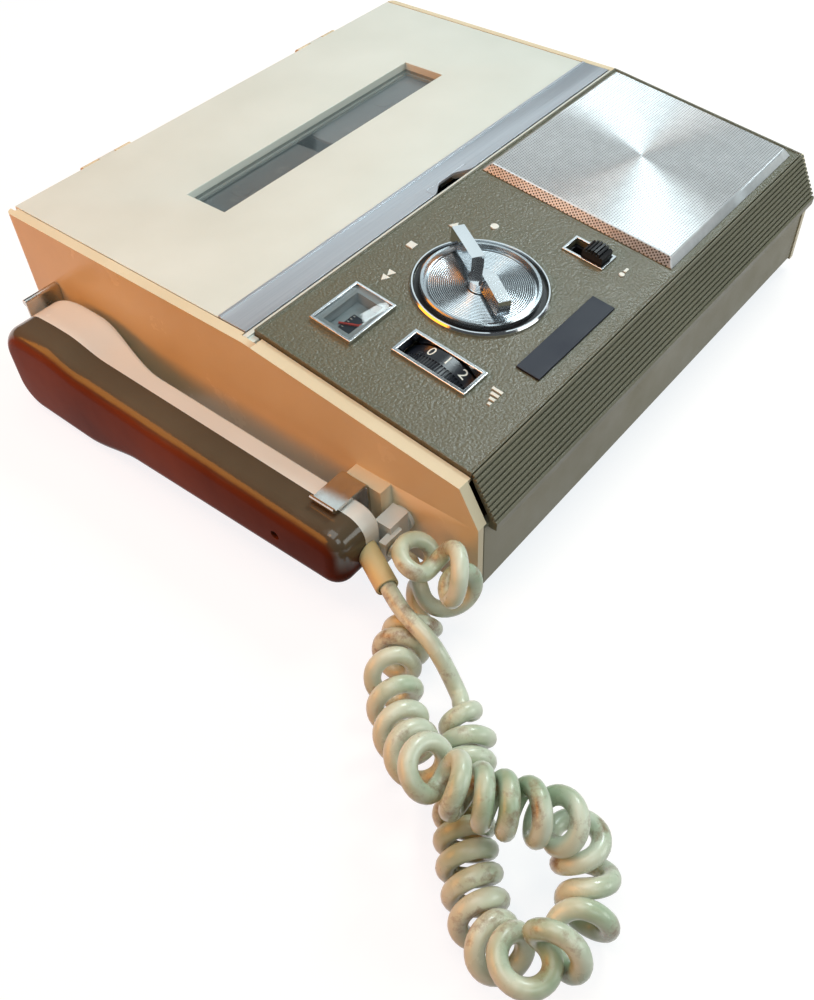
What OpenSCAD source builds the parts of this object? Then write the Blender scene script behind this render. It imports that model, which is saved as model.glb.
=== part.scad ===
// Portable reel-to-reel tape recorder with a clip-on handset.
// Millimetres, +X to the user's right, +Y to the back, +Z up, feet on z = 0.

/* [Case] */
// width over both side walls
case_w = 222; // [200:1:240]
// depth, front edge to rear wall
case_d = 218; // [200:1:240]
// height of the lid's flat top above the case bottom
lid_top = 55.4; // [50:0.2:62]
// wall thickness of the case
wall = 2.6; // [2:0.1:4]
// thickness of the case bottom
base_t = 2.4; // [1.6:0.1:4]
// height of the rubber feet
foot_h = 5; // [3:0.5:8]
// radius of the rubber feet
foot_r = 6; // [4:0.5:9]
// radius of the two rear corners seen from above
rear_round = 3; // [2:0.5:10]
// width of the left rim beside the panel
rim_panel = 5.4; // [4:0.1:8]
// width of the left rim beside the lid
rim_lid = 4; // [3:0.1:6]

/* [Front and panel] */
// height of the chamfer's lower edge
chamfer_z = 30.7; // [26:0.1:36]
// height of the panel's front edge
panel_z = 44.6; // [40:0.1:50]
// how far the panel's front edge sits behind the case front
panel_y = 7; // [4:0.1:12]
// where the sloped panel meets the flat lid
ridge_y = 93; // [80:1:110]
// panel face above the case rim
panel_up = 1.2; // [0.5:0.1:3]
// depth of the panel's skirt below the case rim
panel_skirt = 2; // [1.5:0.1:4]
// height of the raised bead round the panel's edge
bead_h = 0.5; // [0.2:0.1:1]
// number of grooves in the front trim
trim_grooves = 10; // [6:1:14]
// depth of each groove
groove_d = 0.8; // [0.4:0.1:1.2]

/* [Grille and speaker] */
// left edge of the grille
grille_x = 123.5; // [110:0.5:140]
// room between the grille and the right wall's outside
grille_side = 6.5; // [3:0.5:20]
// front edge of the grille, measured up the slope
grille_v = 2.8; // [1:0.1:6]
// rear edge of the grille, measured up the slope
grille_v2 = 85; // [70:0.5:86]
// height of the grille's raised face
grille_h = 3.2; // [1:0.1:5]
// width of the grille's sloping sides
grille_bevel = 2.6; // [1:0.1:5]
// speaker's rim as a share of the grille's shorter side
speaker_share = 0.93; // [0.7:0.01:0.95]
// depth of the speaker
speaker_depth = 24; // [15:0.5:28]

/* [Level meter] */
// left edge of the meter frame
meter_x = 21; // [15:0.5:30]
// front edge of the meter frame, up the slope
meter_v = 60; // [50:0.5:70]
// width of the meter frame
meter_w = 23; // [18:0.5:30]
// depth of the meter frame
meter_d = 17.2; // [12:0.2:24]
// height of the meter frame above the panel
meter_h = 2.2; // [1:0.1:4]
// swing of the needle over its scale
meter_sweep = 60; // [30:5:90]

/* [Volume control] */
// left edge of the volume frame
vol_x = 28; // [20:0.2:36]
// front edge of the volume frame, up the slope
vol_v = 20; // [14:0.5:30]
// width of the volume frame
vol_w = 12.4; // [9:0.2:18]
// length of the volume frame
vol_l = 29; // [20:0.5:36]
// radius of the edge wheel
vol_r = 18.6; // [14:0.2:22]
// how far the wheel's top stands above the case rim
vol_crown = 2.2; // [0.5:0.1:4]
// notches round the wheel's finger band
vol_notches = 40; // [20:2:60]

/* [Slide switch] */
// left edge of the switch frame
sw_x = 106.4; // [100:0.2:115]
// front edge of the switch frame, up the slope
sw_v = 20.4; // [14:0.2:28]
// width of the switch frame
sw_w = 9.4; // [7:0.2:14]
// length of the switch frame
sw_l = 16.8; // [12:0.2:24]
// travel of the slider
sw_travel = 5.8; // [3:0.2:9]

/* [Selector] */
// selector centre from the left wall
sel_x = 71; // [60:0.5:85]
// selector centre up the slope
sel_v = 46; // [35:0.5:55]
// outer radius of the bezel ring
ring_r = 23.8; // [18:0.2:28]
// radius of the spun dish
dish_r = 21.6; // [16:0.2:26]
// height of the bar's top above the panel
bar_h = 9.6; // [6:0.2:14]
// width of the bar
bar_w = 4.6; // [3:0.2:8]
// reach of the pointing end
bar_tip = 22; // [15:0.5:28]
// reach of the tail end
bar_tail = 17.5; // [12:0.5:22]
// direction of the pointing end at rest, from the +X side
bar_angle = 60; // [30:1:90]

/* [Lid] */
// left edge of the lid
lid_x = 4.4; // [4.2:0.1:6]
// front edge of the lid's chrome strip
strip_y = 95.7; // [94:0.1:100]
// depth of the chrome strip
strip_d = 12.7; // [8:0.1:18]
// thickness of the lid's top
lid_t = 2.5; // [1.6:0.1:4]
// left edge of the finger notch
notch_x = 101; // [90:0.5:110]
// width of the finger notch
notch_w = 23; // [15:0.5:30]
// depth of the finger notch
notch_d = 4; // [2:0.2:8]
// left edge of the window
win_x = 47.9; // [40:0.1:60]
// front edge of the window
win_y = 150.9; // [140:0.1:160]
// width of the window
win_w = 127.9; // [100:0.1:150]
// depth of the window
win_d = 20.2; // [14:0.1:40]
// how far the clear pane sits below the lid's top
pane_drop = 3; // [1:0.1:3.4]

/* [Deck and reels] */
// height of the deck plate
deck_z = 36; // [32:0.5:40]
// thickness of the deck plate
deck_t = 1.6; // [1:0.1:3]
// radius of a reel's flanges
reel_r = 38; // [30:0.5:40]
// centre of the supply reel from the left wall
supply_x = 68; // [50:1:80]
// centre of the take-up reel from the left wall
takeup_x = 152; // [140:1:170]
// share of the spare depth that lies in front of the reels
reel_share = 0.47; // [0.4:0.01:0.6]
// radius of the tape on the supply reel
supply_pack = 32; // [20:0.5:36]
// radius of the tape on the take-up reel
takeup_pack = 22; // [18:0.5:36]
// width of the tape
tape_w = 6.2; // [5:0.1:7]
// line of the tape past the heads
tape_y = 114; // [110:0.5:118]

/* [Drive] */
// capstan from the left wall
cap_x = 136; // [120:1:145]
// radius of the capstan
cap_r = 1.25; // [1:0.05:2]
// radius of the flywheel
fly_r = 24; // [18:0.5:28]
// motor from the left wall
motor_x = 88; // [80:1:100]
// motor from the case front
motor_y = 124; // [115:1:135]
// radius of the motor can
motor_r = 13; // [10:0.5:16]
// radius of the motor pulley
pulley_r = 4; // [3:0.1:6]
// radius of the pinch roller
pinch_r = 5; // [4:0.1:6]
// reach of the pinch arm
pinch_reach = 16; // [12:0.5:20]

/* [Power] */
// radius of a battery cell
cell_r = 13; // [10:0.1:13.2]
// length of a battery cell
cell_l = 50; // [40:0.5:50]
// last cell from the right wall's outside
cell_side = 26; // [24:0.5:29]
// spacing of the cells
cell_pitch = 27; // [26.5:0.1:28]

/* [Handset] */
// front end of the handset
hs_y = 28.7; // [25:0.1:35]
// how far the handset's rear end stays in front of the case's rear
hs_behind = 21.5; // [21:0.5:33]
// outer face, to the left of the case wall
hs_out = 30.5; // [28:0.1:36]
// parting plane of the two halves
hs_part = 18; // [15:0.1:22]
// inner face along the handle
hs_in = 11.2; // [9:0.1:14]
// inner face at the middle of the ear end
hs_ear = 3.6; // [3:0.1:6]
// top of the handle at its front
hs_top = 29.6; // [27:0.1:30.8]
// underside of the handle at its front
hs_low = 7.2; // [6.8:0.1:9]
// rounding of the outer half's edges
hs_round = 6; // [3:0.2:6.5]

/* [Clips] */
// front edge of the clip strap
strap_y = 38; // [34:0.5:44]
// width of the clip strap
strap_w = 9.7; // [7:0.1:14]
// thickness of the clip's spring steel
clip_t = 1; // [0.6:0.1:1.6]
// how far the clip stands off the wall
clip_off = 5; // [2:0.2:6]
// underside of the strap
strap_z = 30.4; // [30.2:0.1:34]
// reach of the strap from the wall
strap_reach = 20; // [16:0.5:26]

/* [Curly cord] */
// thickness of the cord
cord_d = 5.2; // [4:0.1:5.2]
// radius of the coil's centre line
coil_r = 5.9; // [5:0.1:5.9]
// rings of points for each curl
coil_rings = 8; // [8:1:12]
// sides of the tube
cord_sides = 6; // [6:1:8]

/* [Hidden] */
$fn = 64;
gap = 0.4;
fit = 0.05;
slope = atan((lid_top - panel_z) / (ridge_y - panel_y));
panel_len = (ridge_y - panel_y) / cos(slope);
panel_x = rim_panel + 0.3;
panel_x2 = case_w - wall;
panel_t = 2;
face = panel_up;
under = panel_up - panel_t;
lid_x2 = case_w - wall - gap;
x_mid = (case_w - hs_out) / 2;
hinge_y = case_d + 2.8;
hinge_z = lid_top - 3.8;
knuckle_r = 2.4;
trim_front = -2.6;
y_mid = (hinge_y + knuckle_r + trim_front) / 2;
rear_top = lid_top - lid_t - 0.6;
front_in = 3.4;
rim_d = 2;
hinge_in = 50;
hinge_at = [hinge_in, case_w - hinge_in];
knuckle = 4;
knuckle_side = 12;
pin_r = 1.1;
post_in = 10;
post_side = 7.8;
post_front = 106;
posts = [for (x = [post_in, case_w - post_side], y = [post_front, case_d - post_in]) [x, y]];
post_r = 4;
screw_r = 1.4;
head_r = 3;
head_t = 1.2;
foot_in = 20;
feet_at = [for (x = [foot_in, case_w - foot_in], y = [foot_in, case_d - foot_in]) [x, y]];
board = [10, 8, 8];
board_size = [102, 76, 1.6];
board_posts = [[14, 12], [108, 12], [14, 80], [108, 80]];
cell_x = case_w - cell_side - 3 * cell_pitch;
door_z = 6.6;
door_y = case_d - wall / 2;
door_x = cell_x - cell_r - 1;
door_x2 = cell_x + 3 * cell_pitch + cell_r + 1;
door_top = base_t + 2 * cell_r + 1.2;
grille_x2 = case_w - grille_side;
speaker_r = speaker_share * min(grille_x2 - grille_x, grille_v2 - grille_v) / 2;
grille_c = [(grille_x + grille_x2) / 2, (grille_v + grille_v2) / 2];
meter_c = [meter_x + meter_w / 2, meter_v + meter_d / 2];
vol_axis = [vol_v + vol_l / 2, vol_crown - vol_r];
reel_spare = case_d - wall - tape_y - 2 * reel_r;
reel_y = tape_y + reel_r + reel_share * reel_spare;
reel_z = deck_z + 4.4;
flange_t = 1;
hub_r = 14.3;
bore_r = 4;
reel_h = tape_w + 2 * gap + 2 * flange_t;
tape_z = reel_z + flange_t + gap;
tape_t = 0.4;
cap_y = tape_y + tape_t / 2 + gap + cap_r;
fly_z = 22;
fly_t = 6;
pinch_y = tape_y - tape_t / 2 - 1.6 - pinch_r;
plug_face = 24.4;
jack_at = [29, 17];
jack_r = 3.2;
deck_front = 101;
deck_in = 5;
hs_y2 = case_d - hs_behind;
ear_at = [hs_y2 - 24.5, 15];
ear_r = 15;
capsule_r = 14;
mic_at = [hs_y + 24.3, 18];
mic_r = 7;
screw_at = [hs_y + 27.3, 17];

// Case frame: left wall at x = 0, front at y = 0, case bottom at z = 0.
module in_case() {
    translate([-x_mid, -y_mid, foot_h])
        children();
}

// Panel frame: x along the panel, y up the slope, z square to the case rim.
module on_panel() {
    in_case()
        translate([0, panel_y, panel_z])
            rotate([slope, 0, 0])
                children();
}

// Box from one corner to the opposite one.
module span(a, b) {
    translate(a)
        cube(b - a);
}

// Cylinder along X, from x for a length l, centred on (y, z).
module along_x(x, y, z, r, l) {
    translate([x, y, z])
        rotate([0, 90, 0])
            cylinder(r = r, h = l);
}

// Outline in (y, z) given depth t along X from x.
module side_on(x, t) {
    translate([x, 0, 0])
        rotate([90, 0, 90])
            linear_extrude(t)
                children();
}

// Rectangle with round corners, centred.
module round_rect(w, d, r) {
    square([w - 2 * r, d], center = true);
    square([w, d - 2 * r], center = true);
    for (i = [-1, 1], j = [-1, 1])
        translate([i * (w / 2 - r), j * (d / 2 - r)])
            circle(r);
}

module side_profile() {
    polygon([[0, 0], [0, chamfer_z], [panel_y, panel_z], [ridge_y, lid_top],
        [case_d, lid_top], [case_d, 0]]);
}

// Waste outside a rear corner.
module corner_waste(side) {
    x = side < 0 ? 0 : case_w;
    translate([x, case_d, -1])
        difference() {
            translate([-rear_round, -rear_round, 0])
                cube([2 * rear_round, 2 * rear_round, lid_top + 2]);
            translate([-side * rear_round, -rear_round, -1])
                cylinder(r = rear_round, h = lid_top + 4);
            span([-3 * rear_round, -3 * rear_round, -1], [3 * rear_round, -rear_round, lid_top + 4]);
            translate([side < 0 ? rear_round : -3 * rear_round, -3 * rear_round, -1])
                cube([2 * rear_round, 4 * rear_round, lid_top + 4]);
        }
}

module case_knuckles() {
    for (x = hinge_at, s = [-1, 1]) {
        x0 = s < 0 ? x - knuckle_side : x + knuckle + gap;
        l = knuckle_side - knuckle - gap;
        along_x(x0, hinge_y, hinge_z, knuckle_r, l);
        span([x0, case_d - wall, hinge_z - knuckle_r], [x0 + l, hinge_y, hinge_z]);
    }
}

module bottom_case() {
    ledge_w = 6;
    ledge_t = 2.4;
    ledge_v = 2;
    rim_v2 = 83;
    boss_more = 4.5;
    boss = [[-clip_off, strap_y - boss_more, 12], [0, strap_y + strap_w, 29]];
    thrust_r = 4;
    rim_chamfer = 4;
    rim_back = [2.2, -1.2];
    cell_stop = case_d - wall - cell_l - 4;
    stop_t = 2;
    rib_h = 5;
    color("ivory")
        in_case()
            difference() {
                union() {
                    side_on(0, wall)
                        side_profile();
                    side_on(case_w - wall, wall)
                        side_profile();
                    span([0, front_in, 0], [case_w, case_d, base_t]);
                    span([0, case_d - wall, 0], [case_w, case_d, rear_top]);
                    translate([0, panel_y, panel_z])
                        rotate([slope, 0, 0]) {
                            span([0, 0, -rim_d], [rim_panel, rim_v2, 0]);
                            span([0, ledge_v, -rim_d - ledge_t], [wall + ledge_w, rim_v2, -rim_d]);
                            span([case_w - wall - ledge_w, ledge_v, -rim_d - ledge_t],
                                [case_w, rim_v2, -rim_d]);
                        }
                    span([0, strip_y, lid_top - rim_d], [rim_lid, case_d - wall, lid_top]);
                    side_on(0, rim_chamfer)
                        polygon([[0, chamfer_z], [panel_y, panel_z], [panel_y, panel_z] + rim_back,
                            [rim_back[0], chamfer_z]]);
                    for (p = posts)
                        translate([p[0], p[1], 0])
                            cylinder(r = post_r, h = deck_z);
                    for (p = board_posts)
                        translate([p[0], p[1], 0])
                            cylinder(r = post_r - 1, h = board[2]);
                    translate([cap_x, cap_y, 0])
                        cylinder(r = thrust_r, h = fly_z - 4);
                    for (i = [0:2])
                        translate([cell_x + (i + 0.5) * cell_pitch - 1, cell_stop, base_t])
                            cube([stop_t, cell_l, rib_h]);
                    span([door_x - 4, cell_stop - stop_t, 0], [case_w - wall, cell_stop, door_top]);
                    span(boss[0], boss[1]);
                    case_knuckles();
                }
                corner_waste(-1);
                corner_waste(1);
                for (x = hinge_at)
                    along_x(x - knuckle_side - 1, hinge_y, hinge_z, pin_r + fit, 2 * knuckle_side + 2);
                for (p = posts)
                    translate([p[0], p[1], -1]) {
                        cylinder(r = screw_r + fit, h = deck_z / 2);
                        cylinder(r = head_r + 0.2, h = 1 + head_t + 0.2);
                    }
                span([door_x, case_d - wall - 1, door_z - wall / 2 - gap], [door_x2, case_d + 1, door_top]);
                along_x(door_x - 2.6, door_y, door_z, 0.8 + fit, door_x2 - door_x + 5.2);
                along_x(-1, jack_at[0], jack_at[1], jack_r + fit, wall + 2);
            }
}

module front_panel() {
    color("darkkhaki")
        in_case()
            span([wall + 1, gap, 2 * gap], [case_w - wall - gap, front_in, chamfer_z - 2.2]);
}

// Ribbed strip on the chamfer: grooves cut square to its face.
module rib_trim() {
    top = [panel_y - 1, panel_z + 1.3];
    low = [trim_front, chamfer_z - 0.5];
    lip = low[1] - 3;
    back = [[gap, lip], [gap, low[1] + 1], [panel_y - 0.5, panel_z - 1.4]];
    run = norm(top - low);
    along = (low - top) / run;
    inward = [-along[1], along[0]];
    pitch = run / (trim_grooves + 0.5);
    groove = 0.8;
    ribs = [for (k = [0:trim_grooves - 1]) each [
        top + along * (k + 0.5) * pitch,
        top + along * ((k + 0.5) * pitch + 0.15) + inward * groove_d,
        top + along * ((k + 0.5) * pitch + groove - 0.15) + inward * groove_d,
        top + along * ((k + 0.5) * pitch + groove)]];
    color("darkolivegreen")
        in_case()
            side_on(panel_x, panel_x2 - panel_x)
                polygon(concat([[panel_y - gap, top[1]], top], ribs, [low, [trim_front + 0.2, lip]], back));
}

module grille_solid(drop) {
    b = drop;
    x = [grille_x + b, grille_x2 - b];
    v = [grille_v + b, grille_v2 - b];
    t = grille_bevel;
    z = [face - (drop > 0 ? 1 : 0), face + grille_h - drop];
    polyhedron(
        points = [[x[0], v[0], z[0]], [x[1], v[0], z[0]], [x[1], v[1], z[0]], [x[0], v[1], z[0]],
            [x[0] + t, v[0] + t, z[1]], [x[1] - t, v[0] + t, z[1]], [x[1] - t, v[1] - t, z[1]],
            [x[0] + t, v[1] - t, z[1]]],
        faces = [[0, 1, 2, 3], [7, 6, 5, 4], [0, 4, 5, 1], [1, 5, 6, 2], [2, 6, 7, 3], [3, 7, 4, 0]]);
}

module control_panel() {
    skirt = 3.2;
    boss_r = 6;
    boss_d = 8;
    bead = 0.9;
    color("darkolivegreen")
        on_panel()
            difference() {
                union() {
                    difference() {
                        span([panel_x, 0, -panel_skirt], [panel_x2, panel_len, face]);
                        span([panel_x + skirt, skirt, -panel_skirt - 1],
                            [panel_x2 - skirt, panel_len - skirt, under]);
                    }
                    translate([sel_x, sel_v, -boss_d])
                        cylinder(r = boss_r, h = boss_d + face);
                    span([panel_x, 0, 0], [panel_x + bead, panel_len, face + bead_h]);
                    span([panel_x2 - bead, 0, 0], [panel_x2, panel_len, face + bead_h]);
                    span([panel_x, 0, 0], [panel_x2, bead, face + bead_h]);
                    span([panel_x, panel_len - bead, 0], [panel_x2, panel_len, face + bead_h]);
                }
                translate([sel_x, sel_v, -boss_d - 1])
                    cylinder(r = 3 + fit, h = boss_d + face + 2);
                translate([grille_c[0], grille_c[1], -panel_skirt - 1])
                    cylinder(r = speaker_r - 4, h = panel_t + 4);
                span([meter_x + 1.6, meter_v + 1.6, -5],
                    [meter_x + meter_w - 1.6, meter_v + meter_d - 1.6, 5]);
                span([vol_x + 0.8, vol_v + 0.8, -5], [vol_x + vol_w - 0.8, vol_v + vol_l - 0.8, 5]);
                span([sw_x + 1, sw_v + 1, -5], [sw_x + sw_w - 1, sw_v + sw_l - 1, 5]);
            }
}

module cross_rail() {
    void_x = notch_x - 2;
    front = ridge_y - 2.4;
    foot = [strip_y + 3.8, lid_top - 8.4];
    step = lid_top - 3.4;
    seat = lid_top - 5.4;
    lip = ridge_y + 0.3;
    back = strip_y - gap;
    color("ivory")
        in_case()
            difference() {
                union() {
                    side_on(wall, case_w - 2 * wall)
                        polygon([[front, foot[1]], [front, step], [lip, step], [lip, lid_top],
                            [back, lid_top], [back, seat], [foot[0], seat], foot]);
                    span([wall, front, seat], [rim_panel, lip, lid_top - 0.6]);
                }
                span([void_x, back - 1.2, foot[1] - 1], [void_x + notch_w + 4, foot[0] + 1, seat + 0.5]);
            }
}

module badge_plate() {
    plate = [[49, 6.8], [93, 15.6]];
    plate_t = 0.8;
    color("midnightblue")
        on_panel()
            translate([plate[0][0], plate[0][1], face])
                cube([plate[1][0] - plate[0][0], plate[1][1] - plate[0][1], plate_t]);
}

module speaker_grille() {
    skin = 0.9;
    color("silver")
        on_panel()
            difference() {
                grille_solid(0);
                grille_solid(skin);
            }
}

module speaker() {
    rim_t = 1.2;
    magnet_r = 18;
    magnet_t = 10;
    neck_r = 15;
    skin = 1.2;
    cap_rad = 9;
    z = under;
    color("dimgray")
        on_panel()
            translate([grille_c[0], grille_c[1], 0])
                rotate_extrude()
                    polygon([[0, z - speaker_depth], [magnet_r, z - speaker_depth],
                        [magnet_r, z - speaker_depth + magnet_t],
                        [neck_r + skin, z - speaker_depth + magnet_t],
                        [speaker_r - 4, z - rim_t], [speaker_r, z - rim_t], [speaker_r, z],
                        [speaker_r - 5, z], [speaker_r - 6, z - 2], [cap_rad, z - 9], [0, z - 7.5]]);
}

module meter_case() {
    lip = 1;
    well = 2.2;
    depth = 14;
    scale_z = -2.4;
    color("darkslategray")
        on_panel()
            difference() {
                union() {
                    span([meter_x + lip, meter_v + lip, face],
                        [meter_x + meter_w - lip, meter_v + meter_d - lip, face + 0.6]);
                    span([meter_x + 2, meter_v + 2, -depth],
                        [meter_x + meter_w - 2, meter_v + meter_d - 2, face + 0.2]);
                }
                span([meter_x + 1 + well, meter_v + 1 + well, scale_z],
                    [meter_x + meter_w - 1 - well, meter_v + meter_d - 1 - well, face + 2]);
                translate([meter_c[0], meter_v + 5, scale_z - 4])
                    cylinder(r = 0.8 + fit, h = 5);
            }
}

module meter_frame() {
    lip = 1;
    open = 2.2;
    color("silver")
        on_panel()
            difference() {
                span([meter_x, meter_v, face], [meter_x + meter_w, meter_v + meter_d, face + meter_h]);
                span([meter_x + lip, meter_v + lip, face - 1],
                    [meter_x + meter_w - lip, meter_v + meter_d - lip, face + 0.6]);
                span([meter_x + open, meter_v + open, face],
                    [meter_x + meter_w - open, meter_v + meter_d - open, face + meter_h + 1]);
            }
}

// Clear cover, crowned along the meter's width.
module meter_lens() {
    open = 2.2;
    crown = 60;
    rise = 2.6;
    color("lightcyan", 0.4)
        on_panel()
            intersection() {
                span([meter_x + open, meter_v + open, face + 0.6],
                    [meter_x + meter_w - open, meter_v + meter_d - open, face + rise]);
                translate([meter_c[0], meter_v, face + rise - crown])
                    rotate([-90, 0, 0])
                        cylinder(r = crown, h = meter_d, $fn = 180);
            }
}

module meter_needle() {
    blade = 7.6;
    blade_w = 0.6;
    color("orangered")
        on_panel()
            translate([meter_c[0], meter_v + 5, 0])
                rotate([0, 0, meter_sweep / 2]) {
                    translate([-blade_w / 2, 0, -1.9])
                        cube([blade_w, blade, 0.5]);
                    translate([0, 0, -5])
                        cylinder(r = 0.8, h = 3.6);
                }
}

module volume_frame() {
    edge = 1.4;
    skirt = 0.8;
    color("silver")
        on_panel()
            difference() {
                union() {
                    span([vol_x, vol_v, face], [vol_x + vol_w, vol_v + vol_l, face + 1.2]);
                    span([vol_x + skirt, vol_v + skirt, -1.4],
                        [vol_x + vol_w - skirt, vol_v + vol_l - skirt, face + 0.2]);
                }
                span([vol_x + edge, vol_v + edge, -5], [vol_x + vol_w - edge, vol_v + vol_l - edge, 5]);
            }
}

// Edge wheel: finger band on the left, numbered band on the right.
module volume_wheel() {
    side = 1.9;
    band = 3.4;
    w = vol_w - 2 * side;
    shaft = 2;
    notch = 0.9;
    color("black")
        on_panel()
            difference() {
                union() {
                    along_x(vol_x + side, vol_axis[0], vol_axis[1], vol_r, w);
                    along_x(vol_x + side - 1, vol_axis[0], vol_axis[1], shaft, w + 9);
                }
                for (i = [0:vol_notches - 1])
                    translate([vol_x + side - 1, vol_axis[0], vol_axis[1]])
                        rotate([i * 360 / vol_notches, 0, 0])
                            translate([0, vol_r - notch / 2, -notch / 2])
                                cube([band + 1, 2 * notch, notch]);
            }
}

module volume_pot() {
    x = vol_x + vol_w + 0.2;
    body_r = 8.5;
    body_l = 8;
    tab = 1.5;
    color("gray")
        on_panel()
            difference() {
                union() {
                    along_x(x, vol_axis[0], vol_axis[1], body_r, body_l);
                    span([x, vol_axis[0] - body_r, vol_axis[1]], [x + tab, vol_axis[0] + body_r, under]);
                }
                along_x(x - 1, vol_axis[0], vol_axis[1], 2 + fit, body_l + 0.4);
            }
}

module switch_frame() {
    edge = 1;
    color("silver")
        on_panel()
            difference() {
                span([sw_x, sw_v, face], [sw_x + sw_w, sw_v + sw_l, face + 0.7]);
                span([sw_x + edge, sw_v + edge, face - 1],
                    [sw_x + sw_w - edge, sw_v + sw_l - edge, face + 2]);
            }
}

module switch_body() {
    edge = 0.4;
    depth = 11;
    color("black")
        on_panel()
            difference() {
                span([sw_x + edge, sw_v + edge, -depth], [sw_x + sw_w - edge, sw_v + sw_l - edge, under]);
                span([sw_x + 2.2, sw_v + 1.8, -6], [sw_x + sw_w - 2.2, sw_v + sw_l - 1.8, 0]);
            }
}

// Arched slider with finger grooves across it.
module switch_slider() {
    side = 1.4;
    long = sw_l - 2 * side - sw_travel;
    arch = 6;
    top = face + 4.6;
    grooves = 5;
    cut = 0.5;
    color("black")
        on_panel() {
            span([sw_x + 2.6, sw_v + 2.2, -5.5], [sw_x + sw_w - 2.6, sw_v + 2.2 + long - 1.8, 0.4]);
            difference() {
                intersection() {
                    span([sw_x + side, sw_v + side, -0.4], [sw_x + sw_w - side, sw_v + side + long, top]);
                    along_x(sw_x, sw_v + side + long / 2, top - arch, arch, sw_w);
                }
                for (i = [0:grooves - 1])
                    translate([sw_x, sw_v + side + (i + 1) * long / (grooves + 1) - cut / 2, top - 1.5])
                        cube([sw_w, cut, 2]);
            }
        }
}

module at_selector() {
    on_panel()
        translate([sel_x, sel_v, face])
            children();
}

module selector_ring() {
    inner = ring_r - 1.3;
    color("silver")
        at_selector()
            rotate_extrude()
                polygon([[inner, 0], [ring_r, 0], [ring_r, 0.9], [ring_r - 0.5, 1.5],
                    [inner + 0.3, 1.5], [inner, 1]]);
}

// Spun dish: a raised rim round a floor of fine rings.
module selector_dish() {
    rim = 1.8;
    floor_z = 1.1;
    rings = 8;
    start = 6;
    pitch = (dish_r - rim - start) / rings;
    teeth = [for (k = [0:rings - 1]) each [
        [start + k * pitch, floor_z],
        [start + (k + 0.5) * pitch, floor_z + 0.15]]];
    color("silver")
        at_selector()
            rotate_extrude()
                polygon(concat([[3 + fit, gap], [3 + fit, floor_z]], teeth,
                    [[dish_r - rim, floor_z], [dish_r - rim + 0.5, 2.6], [dish_r - 0.4, 2.6],
                        [dish_r, 2.2], [dish_r, gap]]));
}

// Bar knob: two fins rising from a low hub, on a shaft through the panel.
module selector_knob() {
    seat = 1.3;
    hub_h = 4.6;
    hub = 4.6;
    low = 3.2;
    mid = 4.4;
    shaft_l = 20;
    color("lightgray")
        at_selector()
            rotate([0, 0, bar_angle]) {
                translate([0, 0, seat])
                    cylinder(r = hub, h = hub_h - seat);
                rotate([90, 0, 0])
                    translate([0, 0, -bar_w / 2])
                        linear_extrude(bar_w)
                            polygon([[-bar_tail, low], [-bar_tail, bar_h - 0.6], [-mid, bar_h],
                                [-mid + 2.4, hub_h - 1], [mid - 0.4, hub_h - 1], [mid, bar_h],
                                [bar_tip, bar_h - 0.6], [bar_tip, low]]);
                translate([0, 0, -shaft_l])
                    cylinder(r = 3, h = shaft_l + seat + 1);
            }
}

module selector_switch() {
    wafer_r = 12;
    top = -8;
    deep = 9;
    color("saddlebrown")
        on_panel()
            translate([sel_x, sel_v, top - deep])
                difference() {
                    cylinder(r = wafer_r, h = deep);
                    translate([0, 0, -1])
                        cylinder(r = 3 + fit, h = deep + 2);
                }
}

module lid_shell() {
    skirt = 2;
    skirt_z = lid_top - 5;
    well = 1.8;
    well_z = lid_top - 5.4;
    ledge = 1.2;
    front = strip_y + 0.6;
    color("ivory")
        in_case()
            difference() {
                union() {
                    span([lid_x, front, lid_top - lid_t], [lid_x2, case_d, lid_top]);
                    span([lid_x, front, skirt_z], [lid_x + skirt, case_d - 8, lid_top - lid_t]);
                    span([lid_x2 - skirt, front, skirt_z], [lid_x2, case_d - 8, lid_top - lid_t]);
                    span([lid_x, front, skirt_z], [lid_x2, front + skirt, lid_top - lid_t]);
                    span([win_x - well, win_y - well, well_z],
                        [win_x + win_w + well, win_y + win_d + well, lid_top - lid_t]);
                    for (x = hinge_at) {
                        along_x(x - knuckle, hinge_y, hinge_z, knuckle_r, 2 * knuckle);
                        span([x - knuckle, case_d - 2, lid_top - lid_t],
                            [x + knuckle, hinge_y, hinge_z + knuckle_r]);
                    }
                }
                span([win_x, win_y, lid_top - pane_drop - 1.4], [win_x + win_w, win_y + win_d, lid_top + 1]);
                span([win_x + ledge, win_y + ledge, well_z - 1],
                    [win_x + win_w - ledge, win_y + win_d - ledge, lid_top]);
                span([lid_x - 1, front - 1, lid_top - 0.8], [lid_x2 + 1, strip_y + strip_d, lid_top + 1]);
                span([notch_x, front - 1, skirt_z - 1], [notch_x + notch_w, strip_y + notch_d, lid_top + 1]);
                for (x = hinge_at)
                    along_x(x - knuckle - 1, hinge_y, hinge_z, pin_r + fit, 2 * knuckle + 2);
                corner_waste(1);
            }
}

// Chrome strip with a turned-down front edge and a raised rear edge.
module lid_trim() {
    edge = 1.2;
    color("lightsteelblue")
        in_case()
            difference() {
                union() {
                    span([lid_x, strip_y, lid_top - 0.8], [lid_x2, strip_y + strip_d, lid_top + 0.2]);
                    span([lid_x, strip_y, lid_top - lid_t], [lid_x2, strip_y + 0.6, lid_top]);
                    span([lid_x, strip_y + strip_d - edge, lid_top],
                        [lid_x2, strip_y + strip_d, lid_top + 0.5]);
                }
                span([notch_x, strip_y - 1, 0], [notch_x + notch_w, strip_y + notch_d, lid_top + 2]);
            }
}

module lid_window() {
    color("slategray", 0.4)
        in_case()
            span([win_x, win_y, lid_top - pane_drop - 1.4],
                [win_x + win_w, win_y + win_d, lid_top - pane_drop]);
}

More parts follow.
